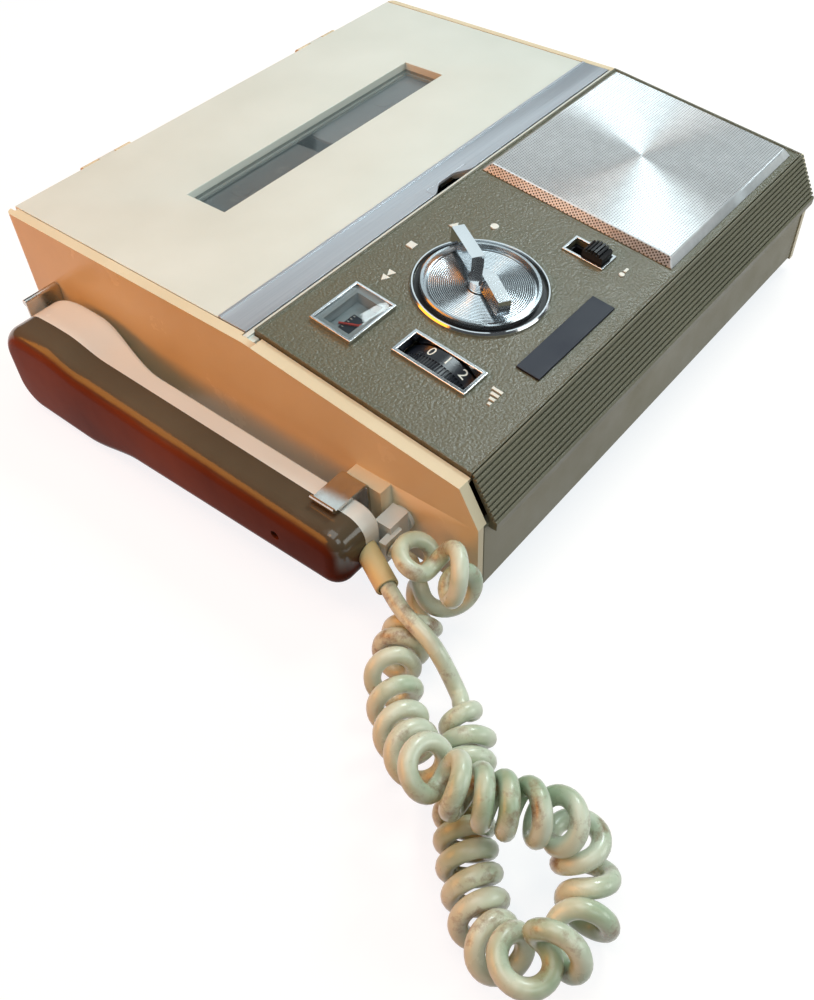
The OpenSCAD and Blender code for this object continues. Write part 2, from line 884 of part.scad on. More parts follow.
module hinge_pins() {
    color("gray")
        in_case()
            for (x = hinge_at)
                along_x(x - knuckle_side, hinge_y, hinge_z, pin_r, 2 * knuckle_side);
}

module deck_plate() {
    bush_r = 5;
    bush_d = 6;
    bearing_d = 7;
    top = deck_z + deck_t;
    color("darkgray")
        in_case()
            difference() {
                union() {
                    span([deck_in, deck_front, deck_z], [case_w - wall - 0.6, case_d - deck_in, top]);
                    for (x = [supply_x, takeup_x])
                        translate([x, reel_y, deck_z - bush_d])
                            cylinder(r = bush_r, h = bush_d + deck_t + 0.6);
                    translate([cap_x, cap_y, deck_z - bearing_d])
                        cylinder(r = bush_r, h = bearing_d + 1);
                    translate([cap_x + pinch_reach, pinch_y, deck_z])
                        cylinder(r = 1.5, h = deck_t + 3.4);
                }
                for (x = [supply_x, takeup_x])
                    translate([x, reel_y, deck_z - bush_d - 1])
                        cylinder(r = 2.5 + fit, h = bush_d + deck_t + 3);
                translate([cap_x, cap_y, deck_z - bearing_d - 1])
                    cylinder(r = cap_r + fit, h = bearing_d + deck_t + 3);
            }
}

module spindle(x) {
    table_r = 12;
    shaft_d = 5.8;
    color("gainsboro")
        in_case()
            translate([x, reel_y, 0]) {
                translate([0, 0, deck_z + deck_t + 1])
                    cylinder(r = table_r, h = reel_z - deck_z - deck_t - 1);
                translate([0, 0, deck_z - shaft_d])
                    cylinder(r = 2.5, h = shaft_d + deck_t + 1.4);
                translate([0, 0, reel_z - 0.5])
                    cylinder(r = bore_r - 0.1, h = reel_h + 0.6);
            }
}

module supply_spindle() {
    spindle(supply_x);
}

module takeup_spindle() {
    spindle(takeup_x);
}

// Reel: two flanges with three windows each on a hub.
module reel(x) {
    window_r = 7.5;
    window_at = 25;
    color("whitesmoke", 0.6)
        in_case()
            translate([x, reel_y, reel_z])
                difference() {
                    union() {
                        cylinder(r = reel_r, h = flange_t, $fn = 96);
                        translate([0, 0, reel_h - flange_t])
                            cylinder(r = reel_r, h = flange_t, $fn = 96);
                        cylinder(r = hub_r, h = reel_h);
                    }
                    translate([0, 0, -1])
                        cylinder(r = bore_r, h = reel_h + 2);
                    for (a = [0:120:240])
                        rotate([0, 0, a + 90])
                            translate([window_at, 0, -1])
                                cylinder(r = window_r, h = flange_t + 1);
                    for (a = [0:120:240])
                        rotate([0, 0, a + 90])
                            translate([window_at, 0, reel_h - flange_t - 0.1])
                                cylinder(r = window_r, h = flange_t + 1);
                }
}

module supply_reel() {
    reel(supply_x);
}

module takeup_reel() {
    reel(takeup_x);
}

module pack(x, r) {
    color("saddlebrown")
        in_case()
            translate([x, reel_y, tape_z])
                difference() {
                    cylinder(r = r, h = tape_w, $fn = 96);
                    translate([0, 0, -1])
                        cylinder(r = hub_r, h = tape_w + 2);
                }
}

module supply_tape() {
    pack(supply_x, supply_pack);
}

module takeup_tape() {
    pack(takeup_x, takeup_pack);
}

// Where a line from p meets a circle as a tangent, on the side given by s.
function tangent(p, c, r, s) =
    let (d = norm(p - c), a = atan2(p[1] - c[1], p[0] - c[0]) + s * acos(r / d))
    c + r * [cos(a), sin(a)];

// Point beside a path's corner, half the tape's thickness to the left or right.
function beside(path, i, s) =
    let (p = max(i, 1), q = min(i, len(path) - 2), a = unit(path[p] - path[p - 1]),
        m = unit(a + unit(path[q + 1] - path[q])))
    path[i] + s * [-m[1], m[0]] * tape_t / 2 / (m * a);

guide_r = 2.5;
guide_out = 18;
guide_xs = [supply_x - guide_out, takeup_x + guide_out];
guide_path = guide_r + 0.05 + tape_t / 2;
guide_cut = guide_path * tan(22.5);
guide_y = tape_y + guide_path;

// Strip from the supply pack round both guides to the take-up pack.
module tape_strip() {
    left = [guide_xs[0] - guide_path, guide_y - guide_cut];
    right = [guide_xs[1] + guide_path, guide_y - guide_cut];
    slack = tape_t / 2 + gap;
    path = [
        tangent(left, [supply_x, reel_y], supply_pack + slack, -1),
        left,
        [guide_xs[0] - guide_cut, tape_y],
        [guide_xs[1] + guide_cut, tape_y],
        right,
        tangent(right, [takeup_x, reel_y], takeup_pack + slack, 1)];
    ends = len(path) - 1;
    color("saddlebrown")
        in_case()
            translate([0, 0, tape_z])
                linear_extrude(tape_w)
                    polygon(concat([for (i = [0:ends]) beside(path, i, 1)],
                        [for (i = [ends:-1:0]) beside(path, i, -1)]));
}

module tape_guides() {
    cap = 3.6;
    z = deck_z + deck_t;
    top = tape_z + tape_w;
    color("silver")
        in_case()
            for (i = [0, 1])
                translate([guide_xs[i], guide_y, 0]) {
                    translate([0, 0, z])
                        cylinder(r = guide_r, h = top - z);
                    translate([0, 0, z])
                        cylinder(r = cap, h = tape_z - 0.3 - z);
                    translate([0, 0, top + 0.2])
                        cylinder(r = cap, h = 0.8);
                    translate([0, 0, top - 0.1])
                        cylinder(r = guide_r, h = 0.5);
                }
}

// Erase head and record head, each a rounded block on a foot plate.
module tape_heads() {
    z = deck_z + deck_t;
    heads = [[80, 8], [104, 12]];
    back = 103;
    nose = 3;
    color("silver")
        in_case()
            for (h = heads) {
                span([h[0] - h[1] / 2, back, z + 1.2],
                    [h[0] + h[1] / 2, tape_y - nose, tape_z + tape_w + 0.6]);
                translate([h[0], tape_y - tape_t / 2 - nose - 0.05, z + 1.2])
                    cylinder(r = nose, h = tape_z + tape_w + 0.6 - z - 1.2);
                span([h[0] - h[1] / 2 - 3, back - 0.5, z], [h[0] + h[1] / 2 + 3, tape_y - nose, z + 1.2]);
            }
}

module capstan() {
    color("silver")
        in_case()
            translate([cap_x, cap_y, fly_z - 3.6])
                cylinder(r = cap_r, h = tape_z + tape_w + 0.6 - fly_z + 3.6);
}

module flywheel() {
    web = 2.4;
    groove = 0.8;
    mid = fly_z + fly_t / 2;
    color("goldenrod")
        in_case()
            translate([cap_x, cap_y, 0])
                rotate_extrude($fn = 96)
                    polygon([[cap_r, fly_z], [fly_r - 5, fly_z + web / 2], [fly_r - 5, fly_z], [fly_r, fly_z],
                        [fly_r, mid - 1.2], [fly_r - groove, mid - 0.7], [fly_r - groove, mid + 0.7],
                        [fly_r, mid + 1.2], [fly_r, fly_z + fly_t], [fly_r - 5, fly_z + fly_t],
                        [fly_r - 5, fly_z + web], [4, fly_z + web], [4, fly_z + fly_t],
                        [cap_r, fly_z + fly_t]]);
}

module pinch_arm() {
    z = deck_z + deck_t + gap;
    arm_t = 1.6;
    arm_w = 6;
    pivot = [cap_x + pinch_reach, pinch_y];
    color("gray")
        in_case()
            difference() {
                union() {
                    translate([cap_x, pinch_y - arm_w / 2, z])
                        cube([pinch_reach, arm_w, arm_t]);
                    translate([cap_x, pinch_y, z])
                        cylinder(r = arm_w / 2, h = arm_t);
                    translate([pivot[0], pivot[1], z])
                        cylinder(r = arm_w / 2, h = arm_t + 1);
                    translate([cap_x, pinch_y, z])
                        cylinder(r = 1.2, h = tape_z + tape_w + 0.8 - z);
                }
                translate([pivot[0], pivot[1], z - 1])
                    cylinder(r = 1.5 + fit, h = arm_t + 4);
            }
}

module pinch_roller() {
    color("black")
        in_case()
            translate([cap_x, pinch_y, tape_z - 0.8])
                difference() {
                    cylinder(r = pinch_r, h = tape_w + 1.4);
                    translate([0, 0, -1])
                        cylinder(r = 1.2 + fit, h = tape_w + 4);
                }
}

module motor() {
    top = fly_z - 2;
    color("lightgray")
        in_case()
            translate([motor_x, motor_y, base_t])
                difference() {
                    union() {
                        cylinder(r = motor_r, h = top - base_t - 2);
                        cylinder(r = 5, h = top - base_t);
                    }
                    translate([0, 0, 4])
                        cylinder(r = 1 + fit, h = top);
                }
}

module motor_pulley() {
    mid = fly_z + fly_t / 2;
    groove = 0.8;
    color("goldenrod")
        in_case()
            translate([motor_x, motor_y, 0])
                rotate_extrude()
                    polygon([[0, base_t + 6], [1, base_t + 6], [1, fly_z - 1.4],
                        [pulley_r + 0.6, fly_z - 1.4],
                        [pulley_r + 0.6, mid - 1.2], [pulley_r - groove + 0.6, mid - 0.7],
                        [pulley_r - groove + 0.6, mid + 0.7], [pulley_r + 0.6, mid + 1.2],
                        [pulley_r + 0.6, fly_z + fly_t], [0, fly_z + fly_t]]);
}

// Flat belt: an arc round each pulley and two straight runs between them.
module drive_belt() {
    belt_t = 0.8;
    belt_w = 1.4;
    lap = 0.05;
    a = [cap_x, cap_y];
    b = [motor_x, motor_y];
    ra = fly_r + gap;
    rb = pulley_r + 0.6 + gap;
    dir = atan2(b[1] - a[1], b[0] - a[0]);
    open = acos((ra - rb) / norm(b - a));
    color("black")
        in_case()
            translate([0, 0, fly_z + fly_t / 2 - belt_w / 2]) {
                translate(a)
                    rotate([0, 0, dir + open])
                        rotate_extrude(angle = 360 - 2 * open, $fn = 96)
                            translate([ra, 0])
                                square([belt_t, belt_w]);
                translate(b)
                    rotate([0, 0, dir - open])
                        rotate_extrude(angle = 2 * open)
                            translate([rb, 0])
                                square([belt_t, belt_w]);
                for (s = [-1, 1]) {
                    out = [cos(dir + s * open), sin(dir + s * open)];
                    run = unit(b + rb * out - a - ra * out) * lap;
                    linear_extrude(belt_w)
                        polygon([a + ra * out - run, b + rb * out + run,
                            b + (rb + belt_t) * out + run, a + (ra + belt_t) * out - run]);
                }
            }
}

module circuit_board() {
    cans = [[24, 74], [36, 74], [60, 18], [72, 18], [96, 30], [96, 44]];
    chips = [[48, 60], [64, 60], [80, 60], [48, 34], [64, 34], [80, 34]];
    top = board[2] + board_size[2];
    color("peru")
        in_case() {
            span(board, board + board_size);
            for (c = cans)
                translate([c[0], c[1], top - 0.1])
                    cylinder(r = 3.2, h = 4);
            for (c = chips)
                span([c[0], c[1], top - 0.1], [c[0] + 6, c[1] + 4, top + 2.4]);
        }
}

module battery_cells() {
    cap = 3.2;
    color("steelblue")
        in_case()
            for (i = [0:3])
                translate([cell_x + i * cell_pitch, case_d - wall - cell_l - 3.4, base_t + cell_r])
                    rotate([-90, 0, 0]) {
                        cylinder(r = cell_r, h = cell_l);
                        cylinder(r = cap, h = cell_l + 1.6);
                    }
}

// Rear door that swings out on two stub pins.
module battery_door() {
    pull = 12;
    mid = (door_x + door_x2) / 2;
    color("ivory")
        in_case() {
            span([door_x + gap, case_d - wall, door_z], [door_x2 - gap, case_d, door_top - gap]);
            along_x(door_x + gap, door_y, door_z, wall / 2, door_x2 - door_x - 2 * gap);
            along_x(door_x - 2, door_y, door_z, 0.8, door_x2 - door_x + 4);
            span([mid - pull, case_d - 0.2, door_top - 4], [mid + pull, case_d + 1, door_top - 2]);
        }
}

module feet() {
    color("dimgray")
        in_case()
            for (p = feet_at)
                translate([p[0], p[1], -foot_h])
                    cylinder(r = foot_r, h = foot_h);
}

module case_screws() {
    color("gray")
        in_case()
            for (p = posts)
                translate([p[0], p[1], 0.2])
                    difference() {
                        union() {
                            cylinder(r = head_r, h = head_t);
                            cylinder(r = screw_r, h = head_t + 10);
                        }
                        translate([-head_r - 1, -0.4, -1])
                            cube([2 * head_r + 2, 0.8, 1.5]);
                    }
}

// Spring clip: wall plate, strap over the handset, flared end, shelf below.
module front_clip() {
    shelf_z = 4.8;
    bead = 1.3;
    x = -clip_off;
    y2 = strap_y + strap_w;
    color("silver")
        in_case() {
            span([x - clip_t, strap_y, shelf_z], [x, y2, strap_z + clip_t]);
            span([-strap_reach, strap_y, strap_z], [x, y2, strap_z + clip_t]);
            span([-strap_reach - 6, strap_y, shelf_z], [x, y2, shelf_z + clip_t]);
            translate([-strap_reach - 0.4, strap_y, strap_z + bead + 0.2])
                rotate([-90, 0, 0])
                    cylinder(r = bead, h = strap_w);
        }
}

module back_clip() {
    y = hs_y2 + 0.6;
    reach = 15;
    low = 7;
    top = 31.6;
    bead = 1.3;
    flange = 9;
    color("silver")
        in_case() {
            span([-reach, y, low], [0, y + clip_t, top]);
            span([-clip_t, y, low], [0, y + flange, top - 4]);
            along_x(-reach, y + bead, top, bead, reach - 0.5);
        }
}

// Right-angle plug: block on the wall, outlet stepped out towards the handset.
module cord_plug() {
    block = [[-10, plug_face + 1.4, 12], [-1.2, plug_face + 7.6, 22.5]];
    outlet = [[-14.2, plug_face, 11], [-6, plug_face + 2.6, 19.8]];
    collar_r = 4.4;
    collar_t = 1.4;
    jack_l = 6.6;
    color("ivory")
        in_case() {
            span(block[0], block[1]);
            span(outlet[0], outlet[1]);
            along_x(-collar_t, jack_at[0], jack_at[1], collar_r, collar_t);
            along_x(-collar_t, jack_at[0], jack_at[1], jack_r, jack_l);
        }
}

function smooth(x) = let (t = min(1, max(0, x))) t * t * (3 - 2 * t);
rise = 0.014;
fall = 0.05;
ear_up = [3, 1.2];
ear_down = 6.3;
handle_end = ear_at[0] - 22;
swell_from = ear_at[0] - 46;
function hs_upper(y) = hs_top + rise * (min(y, handle_end) - hs_y - 11.3)
    + ear_up[0] * smooth((y - handle_end + 2) / 20) - ear_up[1] * smooth((y - ear_at[0]) / 24);
function hs_lower(y) = hs_low - fall * (min(y, swell_from + 9) - hs_y - 1.3)
    - ear_down * smooth((y - swell_from) / 30);
function end_drop(d, r) = d >= r ? 0 : r - sqrt(max(0, r * r - (r - d) * (r - d)));
function ear_swell(y) = smooth((y - swell_from) / 40) - 0.45 * smooth((y - ear_at[0] - 6) / 22);
function hs_inner_x(y) = hs_in - (hs_in - hs_ear) * ear_swell(y);

hs_front_r = 7;
hs_rear_r = 13;
hs_steps = 30;
hs_arc = 6;
// Stations along the handset: an arc at each end, even steps between.
function hs_stations(e) = concat(
    [for (k = [0:hs_arc - 1]) hs_y + e + (hs_front_r - e) * (1 - cos(90 * k / hs_arc))],
    [for (k = [0:hs_steps]) hs_y + hs_front_r + (hs_y2 - hs_rear_r - hs_y - hs_front_r) * k / hs_steps],
    [for (k = [hs_arc - 1:-1:0]) hs_y2 - e - (hs_rear_r - e) * (1 - cos(90 * k / hs_arc))]);
function hs_drop(y, e) =
    e + end_drop(y - hs_y - e, hs_front_r - e) + end_drop(hs_y2 - e - y, hs_rear_r - e);
function hs_high(y, e) = hs_upper(y) - hs_drop(y, e);
function hs_deep(y, e) = hs_lower(y) + hs_drop(y, e);

ear_seat = 6;
// Closed loft through layers of [side position or share, inset]; outer half by x, inner half by share.
function hs_ring(layer, inner) =
    let (e = layer[1], ys = hs_stations(e))
    concat(
        [for (y = ys) [inner ? -hs_part + layer[0] * (hs_part - hs_inner_x(y)) : layer[0], y, hs_high(y, e)]],
        [for (k = [len(ys) - 1:-1:0]) [inner ? -hs_part + layer[0] * (hs_part - hs_inner_x(ys[k])) : layer[0],
            ys[k], hs_deep(ys[k], e)]]);

module hs_loft(layers, inner) {
    n = 2 * len(hs_stations(0));
    m = len(layers);
    pts = [for (l = layers) each hs_ring(l, inner)];
    walls = [for (i = [0:m - 2], k = [0:n - 1]) each [
        [i * n + k, i * n + (k + 1) % n, (i + 1) * n + k],
        [i * n + (k + 1) % n, (i + 1) * n + (k + 1) % n, (i + 1) * n + k]]];
    first = [for (k = [0:n / 2 - 2]) each [
        [k, n - 1 - k, n - 2 - k],
        [k, n - 2 - k, k + 1]]];
    base = (m - 1) * n;
    last = [for (k = [0:n / 2 - 2]) each [
        [base + k, base + n - 2 - k, base + n - 1 - k],
        [base + k, base + k + 1, base + n - 2 - k]]];
    polyhedron(points = pts, faces = concat(walls, first, last));
}

module handset_shell() {
    r = hs_round;
    rounds = 5;
    layers = concat([[-hs_part, 0]],
        [for (k = [0:rounds]) [-hs_out + r - r * sin(90 * k / rounds), r * (1 - cos(90 * k / rounds))]]);
    color("saddlebrown")
        in_case()
            difference() {
                hs_loft(layers, false);
                along_x(-hs_out - 1, screw_at[0], screw_at[1], 4, 4);
                along_x(-hs_out, screw_at[0], screw_at[1], 1.3 + fit, hs_out);
                span([-hs_out + 3, mic_at[0] + 19, 10], [-hs_part + 1, ear_at[0] - 40, 26]);
                along_x(-hs_out + 5, ear_at[0], ear_at[1], capsule_r + 0.3, hs_out);
            }
}

module handset_inner() {
    soft = 1.5;
    layers = [[0, 0], [0.8, 0], [0.93, 0.4], [1, soft]];
    color("ivory")
        in_case()
            difference() {
                hs_loft(layers, true);
                along_x(-hs_part - 1, ear_at[0], ear_at[1], capsule_r + 0.3, hs_part);
                along_x(-ear_seat, ear_at[0], ear_at[1], ear_r + 0.2, 8);
                along_x(-hs_part - 1, mic_at[0], mic_at[1], mic_r + 0.2, 12);
            }
}

module ear_cap() {
    holes = 6;
    hole_r = 1.2;
    circle_r = 6;
    thick = 3.6;
    color("ivory")
        in_case()
            difference() {
                along_x(-ear_seat, ear_at[0], ear_at[1], ear_r, thick);
                along_x(-ear_seat - 1, ear_at[0], ear_at[1], hole_r, thick + 2);
                for (k = [0:holes - 1]) {
                    c = ear_at + circle_r * [cos(360 * k / holes), sin(360 * k / holes)];
                    along_x(-ear_seat - 1, c[0], c[1], hole_r, thick + 2);
                }
            }
}

module mic_cap() {
    slots = 4;
    pitch = 5;
    slot = [1.2, 8];
    plate = [33, 15];
    corner = 7;
    thick = 1.8;
    color("ivory")
        in_case()
            translate([-hs_in, mic_at[0], mic_at[1] - 1])
                rotate([90, 0, 90])
                    difference() {
                        linear_extrude(thick)
                            round_rect(plate[0], plate[1], corner);
                        for (k = [0:slots - 1])
                            translate([(k - (slots - 1) / 2) * pitch - slot[0] / 2, -slot[1] / 2, thick / 2])
                                cube([slot[0], slot[1], thick]);
                    }
}

module capsules() {
    color("gray")
        in_case() {
            along_x(-hs_part + 1, ear_at[0], ear_at[1], capsule_r, hs_part - 1 - ear_seat);
            along_x(-hs_part + 1, mic_at[0], mic_at[1], mic_r, hs_part - 1 - hs_in);
        }
}

module handset_screw() {
    color("gray")
        in_case()
            difference() {
                union() {
                    along_x(-hs_out + 1.4, screw_at[0], screw_at[1], 3, 1.6);
                    along_x(-hs_out + 1.4, screw_at[0], screw_at[1], 1.3, 9);
                }
                span([-hs_out + 1, screw_at[0] - 3.5, screw_at[1] - 0.4],
                    [-hs_out + 2, screw_at[0] + 3.5, screw_at[1] + 0.4]);
            }
}

relief_end = [-23.9, 15.5, 16.2];
relief_dir = [0.42, 0.9, 0.07] / norm([0.42, 0.9, 0.07]);
// Sleeve round the cord where it enters the handset.
module strain_relief() {
    long = 16;
    out_r = 3.7;
    color("khaki")
        in_case()
            difference() {
                translate(relief_end)
                    rotate([0, acos(relief_dir[2]), atan2(relief_dir[1], relief_dir[0])])
                        difference() {
                            cylinder(r = out_r, h = long + 6);
                            translate([0, 0, -1])
                                cylinder(r = cord_d / 2 + 0.2, h = long + 8);
                        }
                span([-60, hs_y, 0], [0, 80, 40]);
            }
}

// Route of the coil's axis: one curl for each step, then a straight tail.
route = [[-11.5, 24, 15.5], [-11.5, 15, 15.5], [-15.5, 7.5, 30], [-14, -6.5, 23.5], [-11, 8, 6],
    [-26, 5.5, 4], [-32, 4, 4.5], [-39, 1.5, 5.5], [-46, -5, 8], [-52.5, -12, 9.5], [-57.5, -19, 13],
    [-62, -27, 19], [-66, -35.5, 28.5], [-65, -43, 27], [-62.5, -49.5, 25.5], [-60, -54.5, 24],
    [-56, -61, 21.5], [-52, -67, 16], [-53, -72, 8.5], [-59, -78.5, 3.5], [-69, -82, 7],
    [-82, -80, 18.5], [-84.5, -73.5, 10.5], [-83.5, -66, 6], [-79, -59.5, 4], [-74.5, -54, 4],
    [-70, -49, 4.5], [-65.5, -45, 5], [-60, -40.5, 5], [-55, -37, 4.5], [-50, -33.5, 4],
    [-44.5, -29.5, 4], [-39, -25, 5], [-32.5, -17, 2.5], [-30.5, -7, 14], [-27.5, 6.5, 15.6],
    relief_end + 3 * relief_dir];
coil_from = 0.7;
coil_to = 32.8;
coil_ease = [0.8, 1.4];
// Where on its circle each curl starts: one angle at the plug, another beyond the first bend.
coil_turn = [245, -5];
turn_span = [3.5, 13];
function turn_at(t) =
    coil_turn[0] + (coil_turn[1] - coil_turn[0]) * smooth((t - turn_span[0]) / (turn_span[1] - turn_span[0]));
function route_at(i) = i < 0 ? 2 * route[0] - route[1]
    : i >= len(route) ? 2 * route[len(route) - 1] - route[len(route) - 2] : route[i];
// Smooth curve through the route's points.
function axis_at(t) =
    let (i = min(floor(t), len(route) - 2), f = t - i,
        a = route_at(i - 1), b = route_at(i), c = route_at(i + 1), d = route_at(i + 2))
    0.5 * (2 * b + (c - a) * f + (2 * a - 5 * b + 4 * c - d) * f * f + (3 * b - a - 3 * c + d) * f * f * f);
function unit(v) = v / norm(v);
cord_n = (len(route) - 1) * coil_rings;
axis_pts = [for (k = [0:cord_n]) axis_at(k / coil_rings)];
carry_steps = 4;
function axis_dir(t) = unit(axis_at(min(len(route) - 1, t + 0.01)) - axis_at(max(0, t - 0.01)));
axis_dirs = [for (k = [0:cord_n * carry_steps]) axis_dir(k / coil_rings / carry_steps)];
function carry(e, d) = unit(e - d * (e * d));
// A side direction carried along the axis without twist, in fine steps.
sides = [for (k = 0, e = carry([1, 0, 0], axis_dirs[0]); k <= cord_n * carry_steps;
    k = k + 1, e = k <= cord_n * carry_steps ? carry(e, axis_dirs[k]) : e) e];
function curl_r(t) =
    coil_r * smooth((t - coil_from) / coil_ease[0]) * smooth((coil_to - t) / coil_ease[1]);
cord_line = [for (k = [0:cord_n])
    let (t = k / coil_rings, turn = 360 * t + turn_at(t),
        e = sides[k * carry_steps], n = cross(axis_dirs[k * carry_steps], e))
    axis_pts[k] + curl_r(t) * (cos(turn) * e + sin(turn) * n)];
cord_dirs = [for (k = [0:cord_n]) unit(cord_line[min(cord_n, k + 1)] - cord_line[max(0, k - 1)])];
cord_sides_v = [for (k = 0, e = carry([0, 0, 1], cord_dirs[0]); k <= cord_n;
    k = k + 1, e = k <= cord_n ? carry(e, cord_dirs[k]) : e) e];
// Distance along the cord to each of its points.
cord_run = [for (k = 0, d = 0; k <= cord_n;
    k = k + 1, d = k <= cord_n ? d + norm(cord_line[k] - cord_line[k - 1]) : d) d];
cord_length = cord_run[cord_n];
apart = 2.5 * cord_d;
// Least clear distance between stretches of the cord that lie apart along it.
function seg_gap(k) = min([for (j = [k + 1:cord_n])
    cord_run[j] - cord_run[k] > apart ? norm(cord_line[j] - cord_line[k]) : cord_length]) - cord_d;
cord_gap = min([for (k = [0:cord_n - 1]) seg_gap(k)]);
echo(cord_gap = cord_gap, cord_length = cord_length);

module curly_cord() {
    m = cord_sides;
    pts = [for (k = [0:cord_n], s = [0:m - 1])
        let (e = cord_sides_v[k], n = cross(cord_dirs[k], e))
        cord_line[k] + cord_d / 2 * (cos(360 * s / m) * e + sin(360 * s / m) * n)];
    walls = [for (k = [0:cord_n - 1], s = [0:m - 1]) each [
        [k * m + s, (k + 1) * m + s, k * m + (s + 1) % m],
        [k * m + (s + 1) % m, (k + 1) * m + s, (k + 1) * m + (s + 1) % m]]];
    first = [for (s = [1:m - 2]) [0, s, s + 1]];
    last = [for (s = [1:m - 2]) [cord_n * m, cord_n * m + s + 1, cord_n * m + s]];
    color("ivory")
        in_case()
            polyhedron(points = pts, faces = concat(walls, first, last));
}

bottom_case();
front_panel();
control_panel();
rib_trim();
cross_rail();
badge_plate();
speaker_grille();
speaker();
meter_case();
meter_frame();
meter_lens();
meter_needle();
volume_frame();
volume_wheel();
volume_pot();
switch_frame();
switch_body();
switch_slider();
selector_ring();
selector_dish();
selector_knob();
selector_switch();
lid_shell();
lid_trim();
lid_window();
hinge_pins();
deck_plate();
supply_spindle();
supply_reel();
supply_tape();
takeup_spindle();
takeup_reel();
takeup_tape();
tape_strip();
tape_guides();
tape_heads();
capstan();
flywheel();
pinch_arm();
pinch_roller();
motor();
motor_pulley();
drive_belt();
circuit_board();
battery_cells();
battery_door();
feet();
case_screws();
front_clip();
back_clip();
cord_plug();
handset_shell();
handset_inner();
ear_cap();
mic_cap();
capsules();
handset_screw();
strain_relief();
curly_cord();
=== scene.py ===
import math
import bmesh
import bpy
from mathutils import Matrix, Vector
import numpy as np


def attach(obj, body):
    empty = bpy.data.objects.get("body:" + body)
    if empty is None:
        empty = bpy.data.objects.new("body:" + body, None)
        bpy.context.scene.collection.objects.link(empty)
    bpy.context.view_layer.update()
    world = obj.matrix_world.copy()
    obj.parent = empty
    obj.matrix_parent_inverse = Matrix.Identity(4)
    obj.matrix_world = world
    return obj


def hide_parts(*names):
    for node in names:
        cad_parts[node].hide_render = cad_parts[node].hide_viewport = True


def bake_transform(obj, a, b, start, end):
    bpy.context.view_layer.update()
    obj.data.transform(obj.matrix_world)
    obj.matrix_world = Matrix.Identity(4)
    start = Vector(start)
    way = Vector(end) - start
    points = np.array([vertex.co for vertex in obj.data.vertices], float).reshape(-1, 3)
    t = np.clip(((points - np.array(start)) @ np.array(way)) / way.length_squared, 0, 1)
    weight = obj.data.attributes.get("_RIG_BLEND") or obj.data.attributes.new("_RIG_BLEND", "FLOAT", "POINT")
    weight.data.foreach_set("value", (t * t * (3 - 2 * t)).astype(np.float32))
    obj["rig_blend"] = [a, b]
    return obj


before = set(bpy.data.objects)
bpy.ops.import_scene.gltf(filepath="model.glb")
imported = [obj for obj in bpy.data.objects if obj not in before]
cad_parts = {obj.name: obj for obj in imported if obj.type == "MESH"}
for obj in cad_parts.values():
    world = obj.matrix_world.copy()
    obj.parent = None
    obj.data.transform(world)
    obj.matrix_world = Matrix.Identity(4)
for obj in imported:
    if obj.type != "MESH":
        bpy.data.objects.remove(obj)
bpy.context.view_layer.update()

MM = 0.001

# Case frame: left wall x = 0, front y = 0, case bottom z = 0, in millimetres
CASE_SHIFT = Vector((-95.75, -110.3, 5.0))

# Control panel: its front and rear edges in (y, z), and the height of its face above the line between them
PANEL_FRONT, PANEL_REAR = (7.0, 44.6), (93.0, 55.4)
PANEL_SLOPE = math.atan((PANEL_REAR[1] - PANEL_FRONT[1]) / (PANEL_REAR[0] - PANEL_FRONT[0]))
PANEL_FACE = 1.2

# Places on the panel: x along it, v up its slope, n out of it
GRILLE_X, GRILLE_V = (123.5, 215.5), (2.8, 85.0)
GRILLE_RISE, GRILLE_BEVEL = 3.2, 2.6
SELECTOR = (71.0, 46.0)
WHEEL_V, WHEEL_N, WHEEL_R = 34.5, -16.4, 18.6
METER_X, METER_V, METER_W, METER_D = 21.0, 60.0, 23.0, 17.2

# Handset: its ends in y, its faces and parting in -x, its edges in z, and its rounded ends and edges
HS_Y, HS_Y2 = 28.7, 196.5
HS_OUT, HS_PART, HS_IN, HS_EAR = 30.5, 18.0, 11.2, 3.6
HS_TOP, HS_LOW = 29.6, 7.2
HS_FRONT_R, HS_REAR_R, HS_ROUND = 7.0, 13.0, 6.0
HS_ARC, HS_STEPS, HS_ROUND_STEPS = 14, 70, 10

# Camera in the row frame: place in metres, turn in degrees, lens in millimetres
CAMERA_AT = Vector((-246.25, -219.1, 261.7)) * MM
CAMERA_AZ, CAMERA_EL, CAMERA_ROLL = -47.9, 48.68, -3.55
CAMERA_LENS, SENSOR_W = 44.27, 36.0


def at(x, y, z):
    """A point of the case frame in the row frame, in metres."""
    return (Vector((x, y, z)) + CASE_SHIFT) * MM


def panel_matrix():
    """Takes millimetres along, up and out of the sloped panel to the row frame in metres."""
    tilt = Matrix.Rotation(PANEL_SLOPE, 4, "X")
    foot = Matrix.Translation(at(0, *PANEL_FRONT))
    return foot @ tilt @ Matrix.Scale(MM, 4)


PANEL = panel_matrix()


def on_panel(x, v, n):
    """A point of the panel in the row frame, in metres."""
    return PANEL @ Vector((x, v, n))


# Camera

